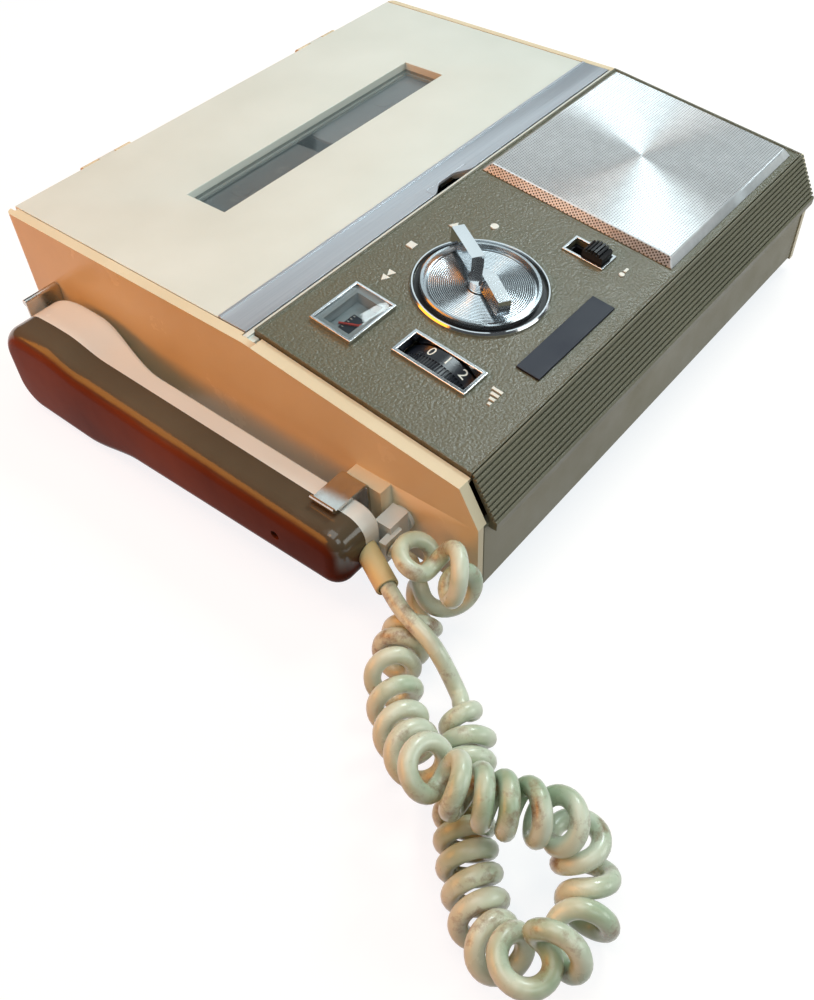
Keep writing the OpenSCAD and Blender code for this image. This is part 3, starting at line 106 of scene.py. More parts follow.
def add_camera():
    """The photograph's camera, which looks along its own -Z."""
    az, el, roll = (math.radians(a) for a in (CAMERA_AZ, CAMERA_EL, CAMERA_ROLL))
    back = Vector((math.sin(az) * math.cos(el), -math.cos(az) * math.cos(el), math.sin(el)))
    right = Vector((0, 0, 1)).cross(back).normalized()
    up = back.cross(right)
    x = math.cos(roll) * right + math.sin(roll) * up
    y = math.cos(roll) * up - math.sin(roll) * right
    data = bpy.data.cameras.new("photo_camera")
    data.sensor_fit = "HORIZONTAL"
    data.sensor_width = SENSOR_W
    data.lens = CAMERA_LENS
    data.clip_start = 0.01
    camera = bpy.data.objects.new("photo_camera", data)
    bpy.context.collection.objects.link(camera)
    pose = Matrix((x, y, back)).transposed().to_4x4()
    pose.translation = CAMERA_AT
    camera.matrix_world = pose
    bpy.context.scene.camera = camera


# Materials

def srgb(r, g, b):
    """Colour given from 0 to 255, as the linear value that a shader takes."""
    def lin(c):
        c /= 255.0
        return c / 12.92 if c <= 0.04045 else ((c + 0.055) / 1.055) ** 2.4
    return (lin(r), lin(g), lin(b), 1.0)


class Finish:
    """A procedural material: one Principled shader and the few patterns that feed it."""

    def __init__(self, name, rough=0.5, metal=0.0, ior=1.5, coat=0.0, coat_rough=0.1):
        self.mat = bpy.data.materials.new(name)
        self.mat.use_nodes = True
        self.tree = self.mat.node_tree
        self.shader = self.tree.nodes["Principled BSDF"]
        self.put(Roughness=rough, Metallic=metal, IOR=ior, Coat_Weight=coat, Coat_Roughness=coat_rough)
        self.place = self.node("ShaderNodeTexCoord").outputs["Object"]
        self.normal = None

    def node(self, kind, **settings):
        made = self.tree.nodes.new(kind)
        for key, value in settings.items():
            setattr(made, key, value)
        return made

    def feed(self, source, socket):
        if isinstance(source, bpy.types.NodeSocket):
            self.tree.links.new(source, socket)
        else:
            socket.default_value = source

    def put(self, **sockets):
        """Sets or links shader sockets, named with _ for spaces."""
        for name, value in sockets.items():
            self.feed(value, self.shader.inputs[name.replace("_", " ")])
        return self

    def shift(self, centre=(0, 0, 0), scale=(1, 1, 1)):
        """Object coordinates moved so that centre is the origin, then scaled."""
        moved = self.node("ShaderNodeVectorMath", operation="SUBTRACT")
        self.feed(self.place, moved.inputs[0])
        moved.inputs[1].default_value = centre
        mapping = self.node("ShaderNodeMapping")
        self.feed(moved.outputs[0], mapping.inputs["Vector"])
        mapping.inputs["Scale"].default_value = scale
        return mapping.outputs[0]

    def noise(self, scale, detail=3.0, rough=0.5, where=None):
        made = self.node("ShaderNodeTexNoise")
        self.feed(where or self.place, made.inputs["Vector"])
        made.inputs["Scale"].default_value = scale
        made.inputs["Detail"].default_value = detail
        made.inputs["Roughness"].default_value = rough
        return made.outputs["Fac"]

    def cells(self, scale):
        made = self.node("ShaderNodeTexVoronoi", feature="SMOOTH_F1")
        self.feed(self.place, made.inputs["Vector"])
        made.inputs["Scale"].default_value = scale
        return made.outputs["Distance"]

    def span(self, value, low, high, to_low=0.0, to_high=1.0):
        """Stretches low..high to to_low..to_high, held at the ends."""
        made = self.node("ShaderNodeMapRange")
        self.feed(value, made.inputs["Value"])
        for name, number in (("From Min", low), ("From Max", high), ("To Min", to_low), ("To Max", to_high)):
            made.inputs[name].default_value = number
        return made.outputs["Result"]

    def drift(self, noise, low=0.0, high=1.0):
        """Stretches the usual range of a noise, 0.3 to 0.7, to low..high."""
        return self.span(noise, 0.3, 0.7, low, high)

    def math(self, operation, a, b=0.0):
        made = self.node("ShaderNodeMath", operation=operation)
        self.feed(a, made.inputs[0])
        self.feed(b, made.inputs[1])
        return made.outputs[0]

    def mix(self, share, a, b):
        made = self.node("ShaderNodeMix", data_type="RGBA")
        self.feed(share, made.inputs["Factor"])
        self.feed(a, made.inputs[6])
        self.feed(b, made.inputs[7])
        return made.outputs[2]

    def bump(self, height, depth):
        """Adds relief of a real depth in millimetres on top of what is there."""
        made = self.node("ShaderNodeBump")
        made.inputs["Strength"].default_value = 1.0
        made.inputs["Distance"].default_value = depth * MM
        self.feed(height, made.inputs["Height"])
        if self.normal is not None:
            self.feed(self.normal, made.inputs["Normal"])
        self.normal = made.outputs["Normal"]
        self.feed(self.normal, self.shader.inputs["Normal"])
        return self

    def mottled(self, low, high, scale=30.0):
        """Base colour that drifts softly between two shades."""
        self.put(Base_Color=self.mix(self.drift(self.noise(scale, 4.0)), low, high))
        return self

    def worn_gloss(self, low, high, scale=60.0):
        """Roughness that drifts with handling."""
        self.put(Roughness=self.drift(self.noise(scale, 5.0, 0.6), low, high))
        return self


def moulded(name, low, high, gloss, peel, ior):
    """Moulded plastic: faint colour drift, uneven gloss and a shallow orange peel."""
    f = Finish(name, ior=ior)
    f.mottled(low, high).worn_gloss(*gloss)
    f.bump(f.noise(900, 2.0), peel)
    return f


def plated(name, low, high, gloss):
    """Bright plated metal with faint haze and fine scratches."""
    f = Finish(name, metal=1.0)
    f.mottled(low, high, 40.0).worn_gloss(*gloss, scale=120.0)
    f.bump(f.noise(500, 3.0, where=f.shift(scale=(1, 6, 1))), 0.01)
    return f


def brushed_plate(name, low, high, gloss, along, metal):
    """Satin metal brushed along one axis."""
    f = Finish(name, metal=metal)
    grain = f.noise(6.0, 3.0, where=f.shift(scale=along))
    f.put(Base_Color=f.mix(f.drift(grain), low, high), Roughness=f.drift(grain, *gloss))
    f.bump(grain, 0.02)
    return f


# Floor and light

def make_floor():
    """Pale floor that shows white to the camera and in reflections, and keeps its shadow."""
    size, glow = 6.0, 0.82
    f = Finish("pale_floor", rough=0.9)
    f.put(Base_Color=f.mix(f.noise(3.0), (0.24, 0.18, 0.13, 1), (0.27, 0.20, 0.15, 1)))
    rays = f.node("ShaderNodeLightPath").outputs
    seen = f.math("MAXIMUM", rays["Is Camera Ray"], rays["Is Glossy Ray"])
    seen = f.math("MAXIMUM", seen, rays["Is Transmission Ray"])
    f.put(Emission_Color=(0.97, 1.02, 1.06, 1), Emission_Strength=f.math("MULTIPLY", seen, glow))
    bpy.ops.mesh.primitive_plane_add(size=size)
    floor = bpy.context.object
    floor.name = "floor"
    floor.data.materials.append(f.mat)


def make_world():
    """Faint even light from all round."""
    world = bpy.data.worlds.new("studio")
    bpy.context.scene.world = world
    world.use_nodes = True
    back = world.node_tree.nodes["Background"]
    back.inputs["Color"].default_value = (0.92, 0.97, 1.0, 1)
    back.inputs["Strength"].default_value = 0.09


def add_lamp(name, where, aim, size, power, colour):
    """Area lamp that faces a point: places and size in metres, power in watts."""
    data = bpy.data.lights.new(name, "AREA")
    data.shape = "RECTANGLE"
    data.size, data.size_y = size
    data.energy = power
    data.color = colour
    lamp = bpy.data.objects.new(name, data)
    bpy.context.collection.objects.link(lamp)
    lamp.location = where
    lamp.visible_camera = False
    lamp.rotation_euler = (Vector(aim) - Vector(where)).to_track_quat("-Z", "Y").to_euler()


def make_lights():
    cool, amber = (0.84, 0.97, 1.0), (1.0, 0.31, 0.01)
    add_lamp("key", (0.62, -0.05, 0.85), (0.02, 0, 0.05), (0.26, 0.26), 4.2, cool)
    add_lamp("ceiling", (-0.12, 0.0, 1.1), (0, 0, 0.05), (0.8, 0.8), 5.3, cool)
    add_lamp("back_panel", (0.8, 0.38, 0.72), (0, 0, 0.05), (0.8, 0.6), 1.5, cool)
    add_lamp("front_fill", (0.4, -1.0, 0.4), (0, 0, 0.03), (0.6, 0.5), 3.2, (0.95, 0.99, 0.95))
    add_lamp("near_fill", (-0.3, -0.8, 0.9), (-0.1, -0.1, 0.03), (0.4, 0.4), 1.6, cool)
    add_lamp("warm_side", (-0.5, 0.27, 0.33), (-0.1, 0.04, 0.035), (0.6, 0.3), 2.4, amber)
    add_lamp("warm_top", (-0.28, 0.05, 0.75), (-0.02, -0.05, 0.05), (0.14, 0.14), 0.3, (1.0, 0.45, 0.1))


# Finishes

# Plastics and paints: two shades from 0 to 255, range of roughness, depth of the orange peel, IOR
MOULDED = {
    "cream_case": ((217, 202, 170), (225, 212, 182), (0.16, 0.3), 0.02, 1.2),
    "cream_lid": ((212, 216, 206), (219, 223, 214), (0.3, 0.42), 0.02, 1.45),
    "olive_trim": ((101, 99, 80), (111, 108, 88), (0.35, 0.5), 0.02, 1.45),
    "olive_front": ((124, 120, 100), (132, 128, 108), (0.4, 0.55), 0.02, 1.45),
    "black_plastic": ((14, 14, 17), (22, 22, 26), (0.36, 0.5), 0.02, 1.45),
    "wheel_black": ((17, 19, 25), (27, 30, 38), (0.24, 0.36), 0.008, 1.45),
    "cream_handset": ((221, 220, 212), (228, 227, 220), (0.18, 0.3), 0.02, 1.3),
    "plug_white": ((206, 208, 203), (219, 220, 213), (0.25, 0.4), 0.02, 1.45),
    "aged_relief": ((206, 186, 132), (222, 206, 160), (0.35, 0.5), 0.02, 1.45),
    "dark_enamel": ((22, 26, 40), (30, 35, 50), (0.5, 0.62), 0.008, 1.45),
    "dark_rubber": ((26, 26, 26), (38, 37, 36), (0.6, 0.8), 0.05, 1.45),
    "reel_clear": ((196, 198, 196), (212, 213, 210), (0.2, 0.3), 0.02, 1.45),
    "brown_board": ((120, 84, 48), (136, 98, 58), (0.4, 0.6), 0.02, 1.45),
    "cell_jacket": ((60, 80, 100), (70, 92, 112), (0.25, 0.35), 0.02, 1.45),
    "paper_cone": ((34, 33, 31), (50, 48, 45), (0.7, 0.9), 0.08, 1.45),
    "white_mark": ((214, 213, 202), (232, 231, 222), (0.4, 0.5), 0.01, 1.45),
    "red_paint": ((196, 44, 26), (214, 58, 32), (0.3, 0.45), 0.01, 1.45),
    "orange_paint": ((222, 118, 52), (234, 134, 66), (0.35, 0.5), 0.01, 1.45),
    "meter_silver": ((158, 172, 174), (176, 188, 190), (0.35, 0.5), 0.01, 1.45),
    # The next two are painted shade: discs coloured as the dark inside the grille's holes, with the dark cone
    # behind them.
    "hole_shade_dark": ((22, 20, 18), (34, 30, 27), (0.6, 0.8), 0.01, 1.45),
    "hole_shade_grey": ((104, 107, 110), (118, 121, 124), (0.6, 0.8), 0.01, 1.45),
}

# Plated and turned metals: two shades, range of roughness
PLATED = {
    "chrome": ((212, 215, 218), (228, 230, 232), (0.06, 0.16)),
    "worn_chrome": ((176, 172, 164), (214, 213, 210), (0.1, 0.28)),
    "turned_brass": ((196, 164, 92), (212, 182, 110), (0.2, 0.32)),
    "motor_can": ((150, 150, 148), (170, 170, 168), (0.3, 0.45)),
}

# Brushed metals: two shades, range of roughness, stretch of the grain in x, y and z, share of metal
BRUSHED = {
    "satin_strip": ((172, 180, 189), (186, 193, 200), (0.28, 0.42), (4, 400, 400), 0.45),
    "spring_steel": ((140, 130, 118), (186, 182, 176), (0.22, 0.4), (300, 6, 300), 1.0),
    "deck_grey": ((96, 98, 100), (112, 114, 116), (0.45, 0.6), (4, 400, 400), 1.0),
}


def make_finishes():
    f = {}
    for kind, table in ((moulded, MOULDED), (plated, PLATED), (brushed_plate, BRUSHED)):
        for name, (low, high, *rest) in table.items():
            f[name] = kind(name, srgb(*low), srgb(*high), *rest)
    f["olive_panel"] = pebbled_panel()
    f["grille_metal"] = spun_sheet("grille_metal", srgb(196, 199, 201), srgb(214, 217, 219), grille_centre(),
                                   rough=0.41, spread=0.95, rings=1500, metal=0.55, depth=0.006)
    f["spun_dish"] = spun_sheet("spun_dish", srgb(168, 174, 178), srgb(186, 191, 195),
                                on_panel(*SELECTOR, PANEL_FACE),
                                rough=0.24, spread=0.6, rings=900, metal=1.0, depth=0.004)
    f["brown_gloss"] = handset_brown()
    f["tape"] = wound_tape()
    f["aged_cord"] = aged_cord()
    f["clear_cover"] = thin_pane("clear_cover", (0.05, 0.07, 0.08), 0.2, (0.12, 1, 1), 420, 0.03)
    f["smoked_pane"] = thin_pane("smoked_pane", (0.10, 0.14, 0.155), 0.38)
    return f


def pebbled_panel():
    """Olive plastic with a leather-like pebble grain and a dull sheen."""
    f = Finish("olive_panel")
    pebble = f.cells(1150)
    swirl = f.noise(2100, 2.0, 0.6)
    height = f.math("ADD", f.span(pebble, 0.1, 0.75, 1.0, 0.0), f.math("MULTIPLY", swirl, 0.7))
    # The base colour follows the pebble height: darker in the hollows, lighter on the tops.
    f.put(Base_Color=f.mix(f.span(height, 0.3, 1.3), srgb(91, 88, 68), srgb(101, 98, 77)))
    f.put(Roughness=f.drift(f.noise(70, 4.0), 0.3, 0.4))
    f.bump(height, 0.14)
    return f


def grille_centre():
    return on_panel(sum(GRILLE_X) / 2, sum(GRILLE_V) / 2, PANEL_FACE + GRILLE_RISE)


def spun_sheet(name, low, high, centre, rough, spread, rings, metal, depth):
    """Metal brushed in circles round a centre, rings to the metre: its highlight opens into two fans."""
    f = Finish(name, rough=rough, metal=metal).put(Anisotropic=spread)
    moved = f.shift(tuple(centre))
    radial = f.node("ShaderNodeVectorMath", operation="NORMALIZE")
    f.feed(moved, radial.inputs[0])
    f.put(Tangent=radial.outputs[0])
    length = f.node("ShaderNodeVectorMath", operation="LENGTH")
    f.feed(moved, length.inputs[0])
    lathe = f.math("SINE", f.math("MULTIPLY", length.outputs["Value"], rings * 2 * math.pi))
    grain = f.noise(240, 4.0, 0.7)
    f.put(Base_Color=f.mix(f.drift(grain), low, high))
    f.bump(f.math("ADD", f.math("MULTIPLY", lathe, 0.5), f.math("MULTIPLY", grain, 0.3)), depth)
    return f


def handset_brown():
    """Olive-brown gloss on top; down the side a duller red-brown that is painted warm light from the side
    over the shell's own brown, with a leathery ripple.
    """
    lit_side_in, lit_side_out, lit_side_low, lit_side_high, rag = 2.6, 1.2, 20, 26, 1.0
    f = Finish("brown_gloss")
    parts = f.node("ShaderNodeSeparateXYZ")
    f.feed(f.place, parts.inputs[0])
    ragged = f.math("ADD", parts.outputs["X"], f.math("MULTIPLY", f.noise(70, 4.0), rag * MM))
    # The red-brown down the side is painted warm light: the mask below is 0 on the outer face and low down,
    # and 1 on the top band.
    face = CASE_SHIFT.x - HS_OUT
    inward = f.span(ragged, (face + lit_side_out) * MM, (face + lit_side_in) * MM)
    top_band = f.math("MULTIPLY", inward, f.span(parts.outputs["Z"], lit_side_low * MM, lit_side_high * MM))
    drift = f.drift(f.noise(22, 4.0))
    # Painted warm light for the side, drifting with the shell's own uneven brown.
    warm_lit_side = f.mix(drift, srgb(90, 40, 21), srgb(120, 60, 32))
    f.put(Base_Color=f.mix(top_band, warm_lit_side, f.mix(drift, srgb(82, 71, 55), srgb(95, 83, 65))))
    f.put(IOR=f.span(top_band, 0.0, 1.0, 1.06, 1.5))
    f.worn_gloss(0.08, 0.18, 90.0)
    f.bump(f.noise(260, 4.0, 0.55), 0.06)
    return f


def wound_tape():
    """Edge of wound tape: close rings of brown film."""
    f = Finish("wound_tape", rough=0.35)
    layers = f.noise(60, 2.0, where=f.shift(scale=(1, 1, 40)))
    f.put(Base_Color=f.mix(layers, srgb(62, 36, 22), srgb(84, 52, 34)))
    f.bump(layers, 0.02)
    return f


def aged_cord():
    """Ivory cord jacket with green and brown handling stains and a worn gloss."""
    f = Finish("aged_cord", coat=0.25, coat_rough=0.15)
    clean = f.mix(f.noise(160, 4.0), srgb(200, 206, 182), srgb(216, 221, 199))
    green = f.mix(f.span(f.noise(34, 4.0, 0.6), 0.46, 0.66), clean, srgb(154, 175, 142))
    spots = f.span(f.noise(75, 6.0, 0.7, f.shift((0.3, 0.1, 0.2))), 0.55, 0.71)
    f.put(Base_Color=f.mix(spots, green, srgb(130, 92, 60)))
    f.worn_gloss(0.2, 0.42, 80.0)
    f.bump(f.noise(700, 3.0), 0.03)
    return f


def thin_pane(name, tint, cover, along=(1, 1, 1), waves=50, depth=0.01):
    """See-through plastic: a share of tint, a clean reflection and faint waves drawn out along one axis."""
    darker, uneven = 0.8, 0.03
    f = Finish(name, rough=0.05, ior=1.9)
    f.put(Base_Color=f.mix(f.noise(30), (*tint, 1), (*(darker * c for c in tint), 1)))
    f.put(Alpha=f.drift(f.noise(20), cover - uneven, cover + uneven))
    f.bump(f.noise(waves, 1.0, where=f.shift(scale=along)), depth)
    return f


# Mesh helpers

def finish_piece(obj, body, slot, *stands_for):
    """Hands a finished mesh to its body and, where it replaces solids, hides them."""
    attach(obj, body)
    if stands_for:
        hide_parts(*stands_for)
    return obj


def new_object(name, bm, finish, smooth=35.0):
    mesh = bpy.data.meshes.new(name)
    bm.normal_update()
    bm.to_mesh(mesh)
    bm.free()
    mesh.shade_smooth()
    mesh.set_sharp_from_angle(angle=math.radians(smooth))
    mesh.materials.append(finish.mat)
    obj = bpy.data.objects.new(name, mesh)
    bpy.context.collection.objects.link(obj)
    return obj


def solid_object(name, bm, finish, smooth=35.0):
    """A new object from a closed mesh, with its faces turned outwards."""
    bmesh.ops.recalc_face_normals(bm, faces=bm.faces)
    return new_object(name, bm, finish, smooth)


def bridge(bm, rings, wrap=True, close=False):
    """Joins neighbouring rings of points with faces.

    wrap joins each ring's last point to its first, and close joins the last ring to the first.
    """
    pairs = zip(rings, rings[1:] + rings[:1]) if close else zip(rings, rings[1:])
    for a, b in pairs:
        for k in range(len(a) if wrap else len(a) - 1):
            t = (k + 1) % len(a)
            bm.faces.new((a[k], a[t], b[t], b[k]))


def bake_modifiers(obj):
    """Leaves the evaluated result as the object's own plain mesh."""
    graph = bpy.context.evaluated_depsgraph_get()
    mesh = bpy.data.meshes.new_from_object(obj.evaluated_get(graph))
    obj.modifiers.clear()
    obj.data = mesh
    return obj


def ease_edges(obj, width, segments=2, angle=35.0, harden=True):
    """Rounds an object's sharp edges by width millimetres."""
    bevel = obj.modifiers.new("ease", "BEVEL")
    bevel.width = width * MM
    bevel.segments = segments
    bevel.limit_method = "ANGLE"
    bevel.angle_limit = math.radians(angle)
    bevel.harden_normals = harden
    return bake_modifiers(obj)


def eased(node, body, slot, finish, width, segments=2):
    """A copy of a CAD node with its sharp edges eased by width millimetres."""
    bm = bmesh.new()
    bm.from_mesh(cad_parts[node].data)
    bmesh.ops.remove_doubles(bm, verts=bm.verts, dist=1e-6)
    bmesh.ops.dissolve_limit(bm, angle_limit=math.radians(0.2), verts=bm.verts, edges=bm.edges)
    obj = ease_edges(new_object(node + "_eased", bm, finish), width, segments)
    finish_piece(obj, body, slot, node)


def dress(finish, *nodes):
    """Gives CAD nodes that stay as they are a better material."""
    for name in nodes:
        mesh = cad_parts[name].data
        mesh.materials.clear()
        mesh.materials.append(finish.mat)


def tube_mesh(name, line, side_start, radius, sides, finish):
    """A closed round tube along a line of points, with a straight twist-free seam."""
    bm = bmesh.new()
    side = Vector(side_start)
    rings = []
    for k, p in enumerate(line):
        d = (line[min(k + 1, len(line) - 1)] - line[max(k - 1, 0)]).normalized()
        side = (side - d * side.dot(d)).normalized()
        other = d.cross(side)
        turns = (2 * math.pi * s / sides for s in range(sides))
        rings.append([bm.verts.new(p + radius * (math.cos(a) * side + math.sin(a) * other)) for a in turns])
    bridge(bm, rings)
    bm.faces.new(rings[0][::-1])
    bm.faces.new(rings[-1])
    return new_object(name, bm, finish, smooth=60.0)


# Curly cord

# The cord's thickness, the radius of its curls, and its mesh: rings to a curl and points to a ring
CORD_D, COIL_R = 5.2, 5.9
CORD_RINGS, CORD_SIDES = 32, 14
# Curls, counted along the route: where they start and end, how fast they open and close, and the start
# angle, which drifts from the first to the second value over TURN_SPAN
COIL_FROM, COIL_TO = 0.7, 32.8
COIL_EASE = (0.8, 1.4)
COIL_TURN = (245, -5)
TURN_SPAN = (3.5, 13)
# Where the cord meets the handset, the direction in which it goes in, and the route's points, a curl apart
RELIEF_END = Vector((-23.9, 15.5, 16.2))
RELIEF_DIR = Vector((0.42, 0.9, 0.07)).normalized()
ROUTE = [(-11.5, 24, 15.5), (-11.5, 15, 15.5), (-15.5, 7.5, 30), (-14, -6.5, 23.5), (-11, 8, 6),
         (-26, 5.5, 4), (-32, 4, 4.5), (-39, 1.5, 5.5), (-46, -5, 8), (-52.5, -12, 9.5), (-57.5, -19, 13),
         (-62, -27, 19), (-66, -35.5, 28.5), (-65, -43, 27), (-62.5, -49.5, 25.5), (-60, -54.5, 24),
         (-56, -61, 21.5), (-52, -67, 16), (-53, -72, 8.5), (-59, -78.5, 3.5), (-69, -82, 7),
         (-82, -80, 18.5), (-84.5, -73.5, 10.5), (-83.5, -66, 6), (-79, -59.5, 4), (-74.5, -54, 4),
         (-70, -49, 4.5), (-65.5, -45, 5), (-60, -40.5, 5), (-55, -37, 4.5), (-50, -33.5, 4),
         (-44.5, -29.5, 4), (-39, -25, 5), (-32.5, -17, 2.5), (-30.5, -7, 14), (-27.5, 6.5, 15.6)]


def ramp01(x):
    """Smooth step from 0 to 1 as x goes from 0 to 1."""
    t = min(1.0, max(0.0, x))
    return t * t * (3 - 2 * t)


def cord_line():
    """Centre line of the curly cord in the row frame: curls carried along a smooth route without twist."""
    into_relief = 3
    route = [Vector(p) for p in ROUTE] + [RELIEF_END + into_relief * RELIEF_DIR]
    last = len(route) - 1

    def point(i):
        if i < 0:
            return 2 * route[0] - route[1]
        return 2 * route[last] - route[last - 1] if i > last else route[i]

    def axis(t):
        i = min(int(t), last - 1)
        u = t - i
        a, b, c, d = (point(i + k) for k in (-1, 0, 1, 2))
        return 0.5 * (2 * b + (c - a) * u + (2 * a - 5 * b + 4 * c - d) * u * u
                      + (3 * b - a - 3 * c + d) * u ** 3)

    line, step = [], 0.01
    side = Vector((1, 0, 0))
    for k in range(last * CORD_RINGS + 1):
        t = k / CORD_RINGS
        d = (axis(min(last, t + step)) - axis(max(0, t - step))).normalized()
        side = (side - d * side.dot(d)).normalized()
        other = d.cross(side)
        r = COIL_R * ramp01((t - COIL_FROM) / COIL_EASE[0]) * ramp01((COIL_TO - t) / COIL_EASE[1])
        later = ramp01((t - TURN_SPAN[0]) / (TURN_SPAN[1] - TURN_SPAN[0]))
        turn = math.radians(360 * t + COIL_TURN[0] + (COIL_TURN[1] - COIL_TURN[0]) * later)
        line.append(at(*(axis(t) + r * (math.cos(turn) * side + math.sin(turn) * other))))
    return line


def make_cord(finish):
    line = cord_line()
    cord = tube_mesh("curly_cord_tube", line, (0, 0, 1), CORD_D / 2 * MM, CORD_SIDES, finish["aged_cord"])
    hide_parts("curly_cord")
    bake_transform(cord, "case", "handset", tuple(line[0]), tuple(line[-1]))
    share = cord.data.attributes["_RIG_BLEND"]
    for k in range(len(line)):
        for s in range(CORD_SIDES):
            share.data[k * CORD_SIDES + s].value = ramp01(k / (len(line) - 1))


# Small repeated and turned forms

def hole_field_tree():
    """Rows of small discs, every second row half a pitch along, made real in one material."""
    tree = bpy.data.node_groups.new("hole_field", "GeometryNodeTree")
    for name, kind in (("Width", "Float"), ("Length", "Float"), ("Columns", "Int"), ("Rows", "Int"),
                       ("Radius", "Float"), ("Material", "Material")):
        tree.interface.new_socket(name, in_out="INPUT", socket_type="NodeSocket" + kind)
    tree.interface.new_socket("Geometry", in_out="OUTPUT", socket_type="NodeSocketGeometry")
    given = tree.nodes.new("NodeGroupInput").outputs

    def node(kind, sources, **settings):
        made = tree.nodes.new(kind)
        for key, value in settings.items():
            setattr(made, key, value)
        for name, value in sources.items():
            if isinstance(value, bpy.types.NodeSocket):
                tree.links.new(value, made.inputs[name])
            else:
                made.inputs[name].default_value = value
        return made

    def calc(operation, a, b):
        return node("ShaderNodeMath", {0: a, 1: b}, operation=operation).outputs[0]

    grid = node("GeometryNodeMeshGrid", {"Size X": given["Width"], "Size Y": given["Length"],
                                         "Vertices X": given["Columns"], "Vertices Y": given["Rows"]})
    index = tree.nodes.new("GeometryNodeInputIndex").outputs[0]
    odd = calc("MODULO", calc("MODULO", index, given["Rows"]), 2.0)
    pitch = calc("DIVIDE", given["Width"], calc("SUBTRACT", given["Columns"], 1.0))
    along = calc("MULTIPLY", calc("SUBTRACT", odd, 0.5), calc("MULTIPLY", pitch, 0.5))
    offset = node("ShaderNodeCombineXYZ", {"X": along})
    moved = node("GeometryNodeSetPosition", {"Geometry": grid.outputs["Mesh"], "Offset": offset.outputs[0]})
    disc = node("GeometryNodeMeshCircle", {"Vertices": 6, "Radius": given["Radius"]}, fill_type="NGON")
    copies = node("GeometryNodeInstanceOnPoints", {"Points": moved.outputs[0], "Instance": disc.outputs[0]})
    real = node("GeometryNodeRealizeInstances", {"Geometry": copies.outputs[0]})
    dressed = node("GeometryNodeSetMaterial", {"Geometry": real.outputs[0], "Material": given["Material"]})
    node("NodeGroupOutput", {"Geometry": dressed.outputs[0]})
    return tree


def hole_field(tree, name, place, size, pitch, radius, finish):
    """Holes over size (along, across) at a pitch, laid on a surface by place: discs painted in the holes'
    shade.
    """
    obj = bpy.data.objects.new(name, bpy.data.meshes.new(name))
    bpy.context.collection.objects.link(obj)
    field = obj.modifiers.new("holes", "NODES")
    field.node_group = tree
    values = {"Width": size[0], "Length": size[1], "Columns": round(size[0] / pitch[0]) + 1,
              "Rows": round(size[1] / pitch[1]) + 1, "Radius": radius, "Material": finish.mat}
    for item in tree.interface.items_tree:
        if item.in_out == "INPUT":
            field[item.identifier] = values[item.name]
    bake_modifiers(obj)
    obj.data.transform(place)
    finish_piece(obj, "case", "speaker_dark")


def make_grille(finish):
    """Raised grille with holes over its flat top and down its two bevelled sides, drawn as flat discs painted
    with the shade inside the holes.
    """
    margin, lift = 1.0, 0.03
    top_pitch, top_r = (1.05, 1.05), 0.27
    side_w, side_more, side_pitch, side_r = 2.4, 2.0, (1.2, 0.9), 0.33
    eased("speaker_grille", "case", "grille_metal", finish["grille_metal"], 0.5, 3)
    tree = hole_field_tree()
    x, v = sum(GRILLE_X) / 2, sum(GRILLE_V) / 2
    flat = [hi - lo - 2 * (GRILLE_BEVEL + margin) for lo, hi in (GRILLE_X, GRILLE_V)]
    top = PANEL @ Matrix.Translation((x, v, PANEL_FACE + GRILLE_RISE + lift))
    # The top holes are grey discs and the side holes dark ones: painted shade, not openings.
    hole_field(tree, "grille_top_holes", top, flat, top_pitch, top_r, finish["hole_shade_grey"])
    slope = math.atan2(GRILLE_RISE, GRILLE_BEVEL)
    for name, edge, way in (("left", GRILLE_X[0], 1), ("right", GRILLE_X[1], -1)):
        middle = Matrix.Translation((edge + way * GRILLE_BEVEL / 2, v, PANEL_FACE + GRILLE_RISE / 2))
        lean = Matrix.Rotation(-way * slope, 4, "Y")
        side = PANEL @ middle @ lean @ Matrix.Translation((0, 0, lift))
        size = (side_w, flat[1] + side_more)
        hole_field(tree, "grille_%s_holes" % name, side, size, side_pitch, side_r, finish["hole_shade_dark"])


def turned(name, profile, segments, place, finish):
    """Solid of revolution about the local Z axis from a closed ring of (radius, height) points."""
    bm = bmesh.new()
    loops = []
    for k in range(segments):
        a = 2 * math.pi * k / segments
        section = [Vector((r * math.cos(a), r * math.sin(a), z)) for r, z in profile]
        loops.append([bm.verts.new(place @ point) for point in section])
    bridge(bm, loops, close=True)
    return solid_object(name, bm, finish)


def arc_points(x, z, r, start, end):
    """Points along an arc in (x, z), from a start to an end in degrees."""
    steps = 8
    turns = (math.radians(start + (end - start) * k / steps) for k in range(steps + 1))
    return [(x + r * math.cos(a), z + r * math.sin(a)) for a in turns]


def bent_strip(name, line, thick, y, y2, finish):
    """Sheet of even thickness bent along a line in (x, z), as wide as y to y2."""
    ease, corner = 0.2, 60.0
    sides = []
    for way in (-0.5, 0.5):
        side = []
        for k, (x, z) in enumerate(line):
            a, b = line[max(k - 1, 0)], line[min(k + 1, len(line) - 1)]
            dx, dz = b[0] - a[0], b[1] - a[1]
            out = way * thick / math.hypot(dx, dz)
            side.append((x - out * dz, z + out * dx))
        sides.append(side)
    bm = bmesh.new()
    sections = []
    for inner, outer in zip(*sides):
        corners = ((inner, y), (outer, y), (outer, y2), (inner, y2))
        sections.append([bm.verts.new(at(x, depth, z)) for (x, z), depth in corners])
    bridge(bm, sections)
    bm.faces.new(sections[0])
    bm.faces.new(sections[-1])
    return ease_edges(solid_object(name, bm, finish), ease, angle=corner, harden=False)


